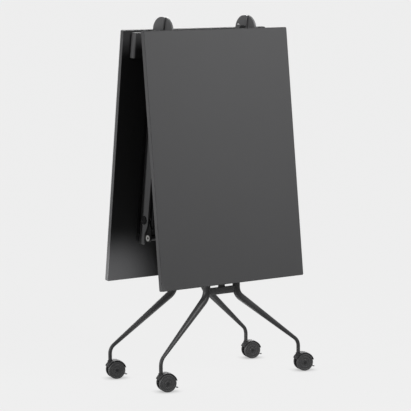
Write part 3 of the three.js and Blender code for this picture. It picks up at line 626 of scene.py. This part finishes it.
def make_arm(end, side, face):
    """Arm with its screwed flange, the flange and screws near-black as painted shade, and with a
    lighter band, a painted highlight, round the nose of an outer arm.
    """
    name = f"{end}_arm_{side}"
    body = f"{end}_top"
    side_view = TOP[end] @ Matrix.Translation((face, 0, 0)) @ SIDE_VIEW
    highlighted = face == ARM_OUTER
    bm = bmesh.new()
    holes = [circle((0, 0), HINGE_BORE), circle((PIVOT_ALONG, PIVOT_RISE), PIVOT_BORE)]
    add_plate(bm, arm_outline(highlighted), holes, ARM_THICKNESS, side_view, ARM_EDGE)
    dress(f"{name}_casting", bm, "painted_casting", body, name)

    middle = face + ARM_THICKNESS / 2
    near = RAIL_SETBACK + RAIL_WIDTH + FLANGE_INSET
    far = ARM_LENGTH - FLANGE_INSET
    outline = rounded_rectangle((middle - FLANGE_WIDTH / 2, near),
                                (middle + FLANGE_WIDTH / 2, far), FLANGE_CORNER)
    under = ARM_TOP - FLANGE_THICKNESS
    bm = bmesh.new()
    add_plate(bm, outline, [], FLANGE_THICKNESS, TOP[end] @ Matrix.Translation((0, 0, under)),
              PLATE_EDGE)
    # Painted shade: the flange is coloured near-black for the shade under the board
    dress(f"{name}_flange", bm, "painted_casting", body, finish="black_steel")

    # Painted highlight: a lighter band round the outer arm's nose stands in for the highlight on
    # its rim
    if highlighted:
        start = NOSE_HIGHLIGHT_START + NOSE_HIGHLIGHT_GAP
        band = arc((0, 0), ARM_TOP, start, NOSE_END, ROUND)
        band += arc((0, 0), ARM_TOP - NOSE_HIGHLIGHT, NOSE_END, start, ROUND)
        bm = bmesh.new()
        add_plate(bm, band, [], ARM_THICKNESS, side_view, NOSE_HIGHLIGHT_EDGE)
        dress(f"{name}_nose_highlight", bm, "zinc_steel", body, finish="worn_zinc_and_highlight")

    down = Matrix.Rotation(math.pi, 4, "X")
    first, last = near + FLANGE_SCREW_INSET, far - FLANGE_SCREW_INSET
    bm = bmesh.new()
    for station in range(FLANGE_SCREWS):
        along = first + (last - first) * station / (FLANGE_SCREWS - 1)
        for aside in (-FLANGE_SCREW_SPREAD, FLANGE_SCREW_SPREAD):
            place = TOP[end] @ Matrix.Translation((middle + aside, along, under)) @ down
            add_screw(bm, place, FLANGE_SCREW_SIZE)
    # The flange's screws are near-black as well, painted shade along with the flange
    dress(f"{name}_screws", bm, "black_steel", body)


def make_nose_screw(end):
    """Button screw on the inner arm's nose, on the face towards the table's middle."""
    inward = Matrix.Rotation(math.pi, 4, "Y")
    place = TOP[end] @ Matrix.Translation((ARM_INNER, *NOSE_SCREW_PLACE)) @ inward @ SIDE_VIEW
    bm = bmesh.new()
    add_screw(bm, place, NOSE_SCREW_SIZE)
    dress(f"{end}_nose_screw", bm, "zinc_steel", f"{end}_top")


def make_rail(end):
    """Pressed rail, notched for the other half's noses; its broad rounded ends are coloured lighter
    as painted light, and its long face darker as painted shade.
    """
    low, high = ARM_TOP - RAIL_DEPTH, ARM_TOP
    back = RAIL_SETBACK + RAIL_WIDTH
    shallow = back - ARM_TOP - RAIL_NOTCH_CLEARANCE
    half = PANEL_WIDTH / 2 - RAIL_END_INSET
    notches = sorted((-face - ARM_THICKNESS - RAIL_NOTCH_CLEARANCE, -face + RAIL_NOTCH_CLEARANCE)
                     for face in (ARM_OUTER, ARM_INNER))
    matrix = TOP[end] @ Matrix.Translation((0, back, 0)) @ Matrix.Rotation(math.pi / 2, 4, "X")
    bm, lit_ends = bmesh.new(), bmesh.new()

    def add_stretch(mesh, outline, depth=RAIL_WIDTH):
        add_plate(mesh, outline, [], depth, matrix, PLATE_EDGE)

    def add_block(left, right, depth=RAIL_WIDTH):
        add_stretch(bm, [(left, low), (right, low), (right, high), (left, high)], depth)

    corner = arc((RAIL_CORNER - half, low + RAIL_CORNER), RAIL_CORNER, math.pi, 1.5 * math.pi)
    cut = round(RAIL_LIT_END_SHARE * (len(corner) - 1))
    for sign, inside in ((-1, notches[0][0]), (1, notches[1][1])):
        outline = [(-sign * x, z) for x, z in corner]
        seam = (outline[cut][0], high)
        add_stretch(lit_ends, [*outline[:cut + 1], seam, (sign * half, high)])
        add_stretch(bm, [*outline[cut:], (inside, low), (inside, high), seam])
    add_block(notches[0][1], notches[1][0])
    for left, right in notches:
        add_block(left - 2 * PLATE_EDGE, right + 2 * PLATE_EDGE, shallow)
    # Painted shade and light: the long face takes the darker steel paint and the rounded ends the
    # lighter castings' paint
    dress(f"{end}_rail", bm, "painted_steel", f"{end}_top", f"{end}_split_rail")
    dress(f"{end}_rail_lit_ends", lit_ends, "painted_steel", f"{end}_top", finish="painted_casting")


for end in ENDS:
    make_board(end)
    make_arm(end, OUTER_SIDE[end], ARM_OUTER)
    make_arm(end, INNER_SIDE[end], ARM_INNER)
    make_nose_screw(end)
    make_rail(end)


# Leg frames

def along_x(end, x=0.0, y=0.0, z=0.0):
    """Place on a standing half, from which pieces are drawn in side view and reach along X."""
    return STAND[end] @ Matrix.Translation((x, y, z)) @ SIDE_VIEW


def leg_rings(sign):
    """Rings down a leg from its head through knee and ankle, and up into the bore of its foot."""
    foot_joint = joint_place("rear_right_swivel")
    spread, reach = foot_joint.x, foot_joint.y
    top = Vector((LEG_SPREAD, HEAD.y, HEAD.z))
    knee = Vector((LEG_SPREAD, HEAD.y, LEG_KNEE_HEIGHT))
    ankle = Vector((spread, reach, LEG_ANKLE_HEIGHT))
    foot = Vector((spread, reach, STEM_HEIGHT + SEAT))
    shin = (ankle - knee).normalized()
    down = Vector((0, 0, -1))
    across = Vector((-shin.y, shin.x, 0)).normalized()

    def bend(corner, before, after, tangent, radius):
        first, last = corner - before * tangent, corner + after * tangent
        for step in range(BEND + 1):
            share = step / BEND
            centre = first.lerp(corner, share).lerp(corner.lerp(last, share), share)
            yield centre, before.lerp(after, share).normalized(), radius

    stations = [
        (top, down, LEG_RADIUS),
        *bend(knee, down, shin, LEG_KNEE_TANGENT, LEG_RADIUS),
        *bend(ankle, shin, down, LEG_ANKLE_TANGENT, LEG_FOOT_RADIUS),
        (foot - down * LEG_FOOT_EASE, down, LEG_FOOT_RADIUS),
        (foot, down, LEG_FOOT_RADIUS - LEG_FOOT_EASE),
        (foot, down, STEM_BORE),
        (foot - down * (STEM_PIN_LENGTH + SEAT), down, STEM_BORE),
    ]
    mirror = Vector((sign, 1, 1))
    rings = []
    for centre, along, radius in stations:
        up = along.cross(across)
        rings.append([(centre + across * (radius * x) + up * (radius * y)) * mirror
                      for x, y in circle((0, 0), 1)])
    return rings


def make_leg(end, side, sign):
    name = f"{end}_leg_{side}"
    bm = bmesh.new()
    add_swept(bm, [[STAND[end] @ point for point in ring] for ring in leg_rings(sign)])
    # The legs take a darker copy of the castings' paint: painted shade
    dress(f"{name}_casting", bm, "painted_casting", f"{end}_leg_frame", name, finish="shaded_leg_paint")


def make_head(end):
    """Head tube with a flanged bush in each end, and a near-black plug in each bush's bore, painted
    shade for the bore.
    """
    body = f"{end}_leg_frame"
    place = along_x(end, 0, HEAD.y, HEAD.z)
    half = HEAD_LENGTH / 2
    bore = HEAD_RADIUS - HEAD_WALL
    tube = [(bore, -half), (HEAD_RADIUS, -half), (HEAD_RADIUS, half), (bore, half)]
    bm = bmesh.new()
    add_turned(bm, eased(tube, SEAT), place, closed=True)
    dress(f"{end}_head_pipe", bm, "painted_steel", body, f"{end}_head_tube")
    seat = half + SEAT
    deep = seat - BUSH_DEPTH
    face = seat + BUSH_FLANGE
    bush = [(BUSH_BORE, deep), (bore - SEAT, deep), (bore - SEAT, seat),
            (HEAD_RADIUS, seat), (HEAD_RADIUS, face), (BUSH_BORE, face)]
    for sign, side in ((-1, OUTER_SIDE[end]), (1, INNER_SIDE[end])):
        bm = bmesh.new()
        add_turned(bm, facing(eased(bush, BUSH_EDGE), sign), place, closed=True)
        dress(f"{end}_bush_{side}", bm, "pale_nylon", body, f"{end}_head_bush_{side}")
        bm = bmesh.new()
        # Painted shade: a near-black plug darkens the bore of each bush
        add_rod(bm, BUSH_BORE - SEAT, sign * deep, sign * (face - BUSH_PLUG_RECESS), place)
        dress(f"{end}_bush_shade_plug_{side}", bm, "black_steel", body)


def make_levers(end):
    """Plates from the head tube to the pivot, the outer one with a lug and the link's lower pin,
    all coloured near-black as painted shade.
    """
    body = f"{end}_leg_frame"
    outer_name, inner_name = f"{end}_lever_{OUTER_SIDE[end]}", f"{end}_lever_{INNER_SIDE[end]}"
    outer = ARM_OUTER + ARM_THICKNESS + SIDE_GAP
    inner = ARM_INNER - SIDE_GAP - LEVER_THICKNESS
    circles = [(*PIVOT.yz, LEVER_PIVOT_RADIUS), (*HEAD.yz, LEVER_HEAD_RADIUS)]
    lug = (*LINK_FOOT.yz, LINK_EYE_RADIUS)
    holes = [circle(PIVOT.yz, PIVOT_BORE), circle(HEAD.yz, HEAD_RADIUS + SEAT)]
    bm = bmesh.new()
    add_plate(bm, strap([*circles, lug]), holes, LEVER_THICKNESS, along_x(end, outer), PLATE_EDGE)
    add_rod(bm, LINK_PIN_RADIUS, LEVER_THICKNESS / 2, LINK_THICKNESS - LINK_FACE - outer,
            along_x(end, outer, *LINK_FOOT.yz), steps=SMALL_ROUND)
    # Painted shade: the lever plates are coloured near-black
    dress(f"{outer_name}_plate", bm, "black_steel", body, outer_name)
    bm = bmesh.new()
    add_plate(bm, strap(circles), holes, LEVER_THICKNESS, along_x(end, inner), PLATE_EDGE)
    dress(f"{inner_name}_plate", bm, "black_steel", body, inner_name)


def make_pivot(end):
    """Dished button outside the outer arm, rod through both arms, and dished cap on its end."""
    body = f"{end}_leg_frame"
    place = along_x(end, 0, PIVOT.y, PIVOT.z)
    rim = PIVOT_DISH_RADIUS + PIVOT_DISH_DEPTH
    seat = ARM_OUTER - SIDE_GAP
    face = seat - PIVOT_CAP_HEIGHT
    dish = face + PIVOT_DISH_DEPTH
    button = [(0, dish), (PIVOT_DISH_RADIUS, dish), (rim, face), (PIVOT_CAP_RADIUS, face),
              (PIVOT_CAP_RADIUS, seat), (0, seat)]
    bm = bmesh.new()
    add_turned(bm, eased(button, PIVOT_EDGE, closed=False), place)
    dress(f"{end}_pivot_button", bm, "black_plastic", body, finish="black_steel")
    bm = bmesh.new()
    tip = ARM_INNER + ARM_THICKNESS + PIVOT_AXLE_OVERHANG
    add_rod(bm, PIVOT_AXLE_RADIUS, seat, tip, place, PIVOT_EDGE)
    dress(f"{end}_pivot_rod", bm, "zinc_steel", body, f"{end}_pivot_axle", finish="worn_zinc_and_highlight")
    seat = ARM_INNER + ARM_THICKNESS + SIDE_GAP
    face = seat + PIVOT_CAP_HEIGHT
    dish = face - PIVOT_DISH_DEPTH
    bore = PIVOT_AXLE_RADIUS + SEAT
    cap = [(bore, seat), (PIVOT_CAP_RADIUS, seat), (PIVOT_CAP_RADIUS, face), (rim, face),
           (PIVOT_DISH_RADIUS, dish), (bore, dish)]
    bm = bmesh.new()
    add_turned(bm, eased(cap, PIVOT_EDGE), place, closed=True)
    dress(f"{end}_pivot_ring", bm, "black_plastic", body, f"{end}_pivot_cap", finish="black_steel")


def make_link(end):
    """Flat link, its two eyes broader than the bar between them, coloured near-black as painted
    shade.
    """
    top, foot = LINK_TOP.yz, LINK_FOOT.yz
    along = math.atan2(foot[1] - top[1], foot[0] - top[0])
    back = along - math.pi
    waist = math.asin(LINK_WIDTH / 2 / LINK_EYE_RADIUS)
    outline = arc(top, LINK_EYE_RADIUS, along + waist, along + math.tau - waist, ROUND)
    outline += arc(foot, LINK_EYE_RADIUS, back + waist, back + math.tau - waist, ROUND)
    holes = [circle(top, LINK_BORE), circle(foot, LINK_BORE)]
    bm = bmesh.new()
    add_plate(bm, outline, holes, LINK_THICKNESS, along_x(end, -LINK_FACE), SMALL_EDGE)
    dress(f"{end}_link_bar", bm, "black_steel", f"{end}_link", f"{end}_link")


def make_cross_bar(end):
    """Bar let into both legs, its outer face sloping back towards the floor."""
    half_width, half_depth = CROSS_BAR_WIDTH / 2, CROSS_BAR_DEPTH / 2
    outline = [(-half_width, -half_depth), (0, -half_depth),
               (half_width, CROSS_BAR_SLOPE - half_depth), (half_width, half_depth),
               (-half_width, half_depth)]
    placed = [(HEAD.y + y, CROSS_BAR_HEIGHT + z) for y, z in outline]
    bm = bmesh.new()
    add_plate(bm, placed, [], 2 * LEG_SPREAD, along_x(end, -LEG_SPREAD), CROSS_BAR_EDGE)
    dress(f"{end}_leg_tie", bm, "painted_steel", f"{end}_leg_frame", f"{end}_cross_bar",
          finish="painted_casting")


for end in ENDS:
    make_leg(end, OUTER_SIDE[end], -1)
    make_leg(end, INNER_SIDE[end], 1)
    make_head(end)
    make_levers(end)
    make_pivot(end)
    make_link(end)
    make_cross_bar(end)
    keep_solid(f"{end}_centre_post", "painted_steel", CENTRE_POST_EDGE)


# Centre frame

def make_centre(end):
    """Hinge pin through two noses, and the lever inside it with the link's upper pin, the lever
    coloured near-black as painted shade.
    """
    side = OUTER_SIDE[end]
    seat = ARM_OUTER - SEAT
    head = seat - HINGE_HEAD_HEIGHT
    tip = -CENTRE_LEVER_FACE + CENTRE_LEVER_THICKNESS + HINGE_PIN_OVERHANG
    pin = [(0, head), (HINGE_HEAD_RADIUS, head), (HINGE_HEAD_RADIUS, seat),
           (HINGE_PIN_RADIUS, seat), (HINGE_PIN_RADIUS, tip), (0, tip)]
    bm = bmesh.new()
    add_turned(bm, eased(pin, PIN_EDGE, closed=False), along_x(end, 0, 0, HINGE.z))
    dress(f"hinge_bolt_{side}", bm, "zinc_steel", "centre_frame", f"hinge_pin_{side}",
          finish="black_steel")
    hinge = (0, HINGE.z)
    grip = (0, HINGE.z - LIFT_BAR_DROP)
    outline = strap([(*hinge, CENTRE_LEVER_RADIUS), (*LINK_TOP.yz, LINK_EYE_RADIUS),
                     (*grip, LIFT_BAR_EYE)])
    holes = [circle(hinge, HINGE_PIN_RADIUS + SEAT), circle(grip, LIFT_BAR_RADIUS + SEAT)]
    bm = bmesh.new()
    add_plate(bm, outline, holes, CENTRE_LEVER_THICKNESS, along_x(end, -CENTRE_LEVER_FACE),
              PLATE_EDGE)
    add_rod(bm, LINK_PIN_RADIUS, CENTRE_LEVER_FACE - LINK_FACE, CENTRE_LEVER_THICKNESS / 2,
            along_x(end, -CENTRE_LEVER_FACE, *LINK_TOP.yz), steps=SMALL_ROUND)
    # Painted shade: the centre lever is coloured near-black
    dress(f"centre_lever_plate_{side}", bm, "black_steel", "centre_frame", f"centre_lever_{side}")


def make_lift_bar():
    bm = bmesh.new()
    add_rod(bm, LIFT_BAR_RADIUS, -CENTRE_LEVER_FACE, CENTRE_LEVER_FACE,
            along_x("rear", 0, 0, HINGE.z - LIFT_BAR_DROP), PIN_EDGE)
    # Painted shade: the lift bar is coloured near-black
    dress("lift_handle", bm, "black_steel", "centre_frame", "lift_bar")


for end in ENDS:
    make_centre(end)
make_lift_bar()


# Casters

def caster_matrix(name):
    swivel = joint_place(f"{name}_swivel")
    trail = joint_place(f"{name}_near_roll") - swivel
    turn = Matrix.Rotation(math.atan2(trail.y, trail.x), 4, "Z")
    return Matrix.Translation((swivel.x, swivel.y, 0)) @ turn


def axle_matrix(name):
    return caster_matrix(name) @ Matrix.Translation(AXLE_PLACE) @ ALONG_Y


def wheel_plane(matrix, y):
    """Side view of the wheel, X along the trail and Y upwards, its Z towards the caster's -Y."""
    place = Matrix.Translation(AXLE_PLACE + Vector((0, y, 0)))
    return matrix @ place @ Matrix.Rotation(math.pi / 2, 4, "X")


def make_wheel(name, which, sign):
    """Near-black inner half of the tread, painted shade between the two wheels, and a moulded disc
    that makes up the outer half.
    """
    body = f"{name}_{which}_wheel"
    place = axle_matrix(name)
    rim = WHEEL_RADIUS - SHADED_TREAD_DEPTH
    crown = WHEEL_RADIUS - TREAD_CROWN
    inside, outside = WHEEL_INSIDE, WHEEL_OUTSIDE
    seam = (inside + outside) / 2
    # Painted shade: the inner half of the tread takes the near-black wheel colour
    shaded_tread = [(rim, inside), (WHEEL_RADIUS - SHADED_TREAD_SHOULDER, inside), (crown, inside + SHADED_TREAD_SHOULDER),
            (WHEEL_RADIUS, seam - SHADED_TREAD_FLAT), (WHEEL_RADIUS, seam - SEAT), (rim, seam - SEAT)]
    bm = bmesh.new()
    add_turned(bm, facing(eased(shaded_tread, SHADED_TREAD_EDGE), sign), place, WHEEL_ROUND, closed=True)
    dress(f"{body}_tyre", bm, "wheel", body)
    disc = [(AXLE_BORE, inside), (rim - SEAT, inside), (rim - SEAT, seam), (WHEEL_RADIUS, seam),
            (WHEEL_RADIUS, outside - COVER_SHOULDER_WIDTH), (crown, outside - COVER_SHOULDER),
            (WHEEL_RADIUS - COVER_SHOULDER, outside)]
    disc += [(radius, outside - depth) for radius, depth in COVER_RINGS]
    bm = bmesh.new()
    add_turned(bm, facing(eased(disc, COVER_EDGE), sign), place, WHEEL_ROUND, closed=True)
    dress(f"{body}_disc", bm, "black_plastic", body, body)


def make_axle(name):
    face = WHEEL_OUTSIDE + SEAT
    tip = face + AXLE_HEAD_HEIGHT
    profile = [(0, -tip), (AXLE_HEAD_RADIUS, -tip), (AXLE_HEAD_RADIUS, -face),
               (AXLE_RADIUS, -face), (AXLE_RADIUS, face), (AXLE_HEAD_RADIUS, face),
               (AXLE_HEAD_RADIUS, tip), (0, tip)]
    bm = bmesh.new()
    add_turned(bm, eased(profile, SMALL_EDGE, closed=False), axle_matrix(name))
    dress(f"{name}_axle_pin", bm, "black_plastic", f"{name}_caster", f"{name}_axle",
          finish="hood_plastic")


def add_roof(bm, matrix):
    """Curved roof, slightly crowned across, over both treads."""
    crown = HOOD_OUTER + HOOD_CROWN
    section = eased([(HOOD_INNER, -HOOD_HALF), (HOOD_OUTER, -HOOD_HALF), (crown, -HOOD_HALF / 2),
                     (crown, HOOD_HALF / 2), (HOOD_OUTER, HOOD_HALF), (HOOD_INNER, HOOD_HALF)],
                    HOOD_EDGE)
    rings = []
    for step in range(ROUND + 1):
        angle = HOOD_START + (HOOD_END - HOOD_START) * step / ROUND
        outward = Vector((math.cos(angle), 0, math.sin(angle)))
        rings.append([matrix @ (AXLE_PLACE + outward * radius + Vector((0, y, 0)))
                      for radius, y in section])
    add_swept(bm, rings)


def add_socket(bm, matrix):
    """Swivel socket standing on the roof, with the stem pin above it."""
    top = STEM_HEIGHT - SEAT
    narrow = 1 - SOCKET_EASE / SOCKET_RADIUS
    rings = [[], [], [], []]
    for x, y in circle((0, 0), SOCKET_RADIUS):
        foot = WHEEL_RADIUS + math.sqrt(HOOD_MIDDLE ** 2 - (x - CASTER_TRAIL) ** 2)
        rings[0].append(Vector((x, y, foot)))
        rings[1].append(Vector((x, y, max(foot, top - SOCKET_EASE))))
        rings[2].append(Vector((x * narrow, y * narrow, top)))
        rings[3].append(Vector((x * SOCKET_MOUTH, y * SOCKET_MOUTH, top)))
    add_swept(bm, [[matrix @ point for point in ring] for ring in rings])
    add_rod(bm, STEM_PIN_RADIUS, top - STEM_PIN_SINK, STEM_HEIGHT + STEM_PIN_LENGTH, matrix,
            SMALL_EDGE, SMALL_ROUND)


def make_hood(name):
    """Roof with its socket, and the web between the wheels with the brake's cheek and pin, the web
    coloured near-black as painted shade between the wheels.
    """
    body = f"{name}_caster"
    matrix = caster_matrix(name)
    bm = bmesh.new()
    add_roof(bm, matrix)
    add_socket(bm, matrix)
    dress(f"{name}_hood_shell", bm, "black_plastic", body, f"{name}_hood", finish="hood_plastic")
    near_side = wheel_plane(matrix, WEB_HALF)
    web = [*arc((0, 0), HOOD_MIDDLE, WEB_START, HOOD_END, ROUND),
           *arc((0, 0), WEB_RADIUS, math.pi, math.tau, ROUND)]
    bm = bmesh.new()
    add_plate(bm, web, [circle((0, 0), AXLE_BORE)], 2 * WEB_HALF, near_side, PLATE_EDGE)
    cheek = strap([(*BRAKE_PIVOT, BRAKE_ARM_RADIUS), (0, BRAKE_PIVOT[1], BRAKE_ARM_RADIUS),
                   (0, WEB_RADIUS, BRAKE_ARM_RADIUS)])
    add_plate(bm, cheek, [], BRAKE_CHEEK - SEAT, wheel_plane(matrix, BRAKE_CHEEK - WEB_HALF),
              SMALL_EDGE)
    add_rod(bm, BRAKE_PIN_RADIUS, 0, 2 * WEB_HALF,
            near_side @ Matrix.Translation((*BRAKE_PIVOT, 0)), steps=SMALL_ROUND)
    # Painted shade: the web between the wheels is coloured near-black
    dress(f"{name}_hood_web", bm, "black_plastic", body, finish="black_steel")


def make_pedal(name):
    """Arm on the brake's pin beside the cheek, with a wide foot tab behind the wheels."""
    matrix = caster_matrix(name)
    near, far = BRAKE_TAB
    outline = strap([(*BRAKE_PIVOT, BRAKE_ARM_RADIUS),
                     (near, BRAKE_TAB_THICKNESS / 2 - BRAKE_TAB_DROP, BRAKE_TAB_THICKNESS / 2)])
    hole = circle(BRAKE_PIVOT, BRAKE_PIN_RADIUS + SEAT, SMALL_ROUND)
    cheek_side = BRAKE_CHEEK - WEB_HALF + SIDE_GAP
    bm = bmesh.new()
    add_plate(bm, outline, [hole], WEB_HALF - cheek_side, wheel_plane(matrix, WEB_HALF), SMALL_EDGE)
    half = BRAKE_TAB_WIDTH / 2
    tab = rounded_rectangle((near, -half), (far, half), BRAKE_TAB_CORNER)
    base = matrix @ Matrix.Translation((CASTER_TRAIL, 0, WHEEL_RADIUS - BRAKE_TAB_DROP))
    add_plate(bm, tab, [], BRAKE_TAB_THICKNESS, base, BRAKE_TAB_EDGE)
    pedal = f"{name}_brake_pedal"
    dress(f"{name}_brake_lever", bm, "black_plastic", pedal, pedal, finish="black_steel")


for caster in CASTERS:
    make_wheel(caster, "near", -1)
    make_wheel(caster, "far", 1)
    make_axle(caster)
    make_hood(caster)
    make_pedal(caster)


# Floor, light and camera

BACKDROP = 0.935
HORIZON = 0.852
SKY_STRENGTH = 0.03
FLOOR_COLOUR = 0.18
FLOOR_REACH = 120.0
SHADOW_SHARE = 0.10
CONTACT_REACH = 0.035
CONTACT_OPENNESS = (0.3, 1.0)
CONTACT_TONES = (0.60, 1.0)
# Each sun: name, the side it shines from, its angular size and its strength
SUNS = (
    ("left_key", Vector((-1.0, 0.095, 0.30)), math.radians(3), 1.8),
    ("back_right_fill", Vector((0.55, 0.75, 0.45)), math.radians(40), 3.0),
)
SOFTBOX_PLACE = Vector((0.50, -2.60, 2.80))
SOFTBOX_AIM = Vector((0.0, 0.0, 0.90))
SOFTBOX_SIZE = 1.4
SOFTBOX_POWER = 95.0
FLOOR_GLOW_PLACE = Vector((0, 0, 0.012))
FLOOR_GLOW_AIM = Vector((0, 0, 1))
FLOOR_GLOW_SIZE = (0.36, 0.14)
FLOOR_GLOW_POWER = 0.8
STRIP_PLACE = Vector((-0.85, 0.80, 0.85))
STRIP_AIM = Vector((-0.38, 0.08, 0.85))
STRIP_SIZE = (0.25, 1.0)
STRIP_POWER = 4.5
LOW_SPOT_PLACE = Vector((-1.00, -1.03, 0.30))
LOW_SPOT_AIM = Vector((-0.37, 0.19, 0.40))
LOW_SPOT_CONE = math.radians(19)
LOW_SPOT_BLEND = 1.0
LOW_SPOT_RADIUS = 0.05
LOW_SPOT_POWER = 215.0
CAMERA_PLACE = Vector((-5.5443, -7.0471, 1.7919))
CAMERA_BACK = Vector((-0.61412, -0.78035, 0.11792))
CAMERA_LENS = 186.05
CAMERA_SHIFT = (0.0003, 0.0013)


def seen_directly(tree):
    """One for camera rays, reflections and views through glass, and zero for bounced light."""
    path = add_node(tree, "ShaderNodeLightPath", {}).outputs
    either = calculated(tree, "MAXIMUM", path["Is Camera Ray"], path["Is Glossy Ray"])
    return calculated(tree, "MAXIMUM", either, path["Is Transmission Ray"])


def floor_finish():
    """Pale, evenly lit floor with the object's soft shadow and a contact shade under it."""
    material = bpy.data.materials.new("studio_floor")
    material.use_nodes = True
    tree = material.node_tree
    tree.nodes.remove(tree.nodes["Principled BSDF"])
    lit = add_node(tree, "ShaderNodeBsdfDiffuse", {"Color": grey(FLOOR_COLOUR)}).outputs[0]
    openness = add_node(tree, "ShaderNodeAmbientOcclusion",
                        {"Distance": CONTACT_REACH}).outputs["AO"]
    tone = mapped(tree, openness, CONTACT_OPENNESS, CONTACT_TONES)
    even = add_node(tree, "ShaderNodeEmission",
                    {"Color": grey(BACKDROP), "Strength": tone}).outputs[0]
    share = calculated(tree, "MULTIPLY", seen_directly(tree), 1 - SHADOW_SHARE)
    mixed = add_node(tree, "ShaderNodeMixShader", {0: share, 1: lit, 2: even})
    tree.links.new(mixed.outputs[0], tree.nodes["Material Output"].inputs["Surface"])
    return material


def make_floor():
    bm = bmesh.new()
    corners = ((-1, -1), (1, -1), (1, 1), (-1, 1))
    bm.faces.new([bm.verts.new((x * FLOOR_REACH, y * FLOOR_REACH, 0)) for x, y in corners])
    mesh = bpy.data.meshes.new("floor")
    bm.to_mesh(mesh)
    bm.free()
    mesh.materials.append(floor_finish())
    floor = bpy.data.objects.new("floor", mesh)
    bpy.context.scene.collection.objects.link(floor)


def add_lamp(name, kind, place, towards, power):
    lamp = bpy.data.lights.new(name, kind)
    lamp.energy = power
    lamp_object = bpy.data.objects.new(name, lamp)
    lamp_object.location = place
    lamp_object.rotation_euler = (place - towards).to_track_quat("Z", "Y").to_euler()
    lamp_object.visible_camera = False
    bpy.context.scene.collection.objects.link(lamp_object)
    return lamp


def add_panel(name, place, towards, size, power):
    panel = add_lamp(name, "AREA", place, towards, power)
    panel.shape = "RECTANGLE"
    panel.size, panel.size_y = size


def make_light():
    world = bpy.data.worlds.new("studio")
    bpy.context.scene.world = world
    world.use_nodes = True
    tree = world.node_tree
    background = tree.nodes["Background"]
    sky = mapped(tree, seen_directly(tree), (0.0, 1.0), (SKY_STRENGTH, HORIZON))
    tree.links.new(sky, background.inputs["Strength"])
    background.inputs["Color"].default_value = shade(WHITE)
    for name, place, angle, strength in SUNS:
        sun = add_lamp(name, "SUN", place, Vector(), strength)
        sun.angle = angle
    softbox = add_lamp("softbox", "AREA", SOFTBOX_PLACE, SOFTBOX_AIM, SOFTBOX_POWER)
    softbox.size = SOFTBOX_SIZE
    add_panel("floor_glow", FLOOR_GLOW_PLACE, FLOOR_GLOW_AIM, FLOOR_GLOW_SIZE, FLOOR_GLOW_POWER)
    add_panel("back_strip", STRIP_PLACE, STRIP_AIM, STRIP_SIZE, STRIP_POWER)
    spot = add_lamp("low_spot", "SPOT", LOW_SPOT_PLACE, LOW_SPOT_AIM, LOW_SPOT_POWER)
    spot.spot_size = LOW_SPOT_CONE
    spot.spot_blend = LOW_SPOT_BLEND
    spot.shadow_soft_size = LOW_SPOT_RADIUS


def make_camera():
    lens = bpy.data.cameras.new("photo_view")
    lens.lens = CAMERA_LENS
    lens.shift_x, lens.shift_y = CAMERA_SHIFT
    camera = bpy.data.objects.new("photo_view", lens)
    camera.location = CAMERA_PLACE
    camera.rotation_euler = CAMERA_BACK.to_track_quat("Z", "Y").to_euler()
    bpy.context.scene.collection.objects.link(camera)
    bpy.context.scene.camera = camera


make_floor()
make_light()
make_camera()
bpy.context.scene.view_settings.view_transform = "Standard"
bpy.context.view_layer.update()
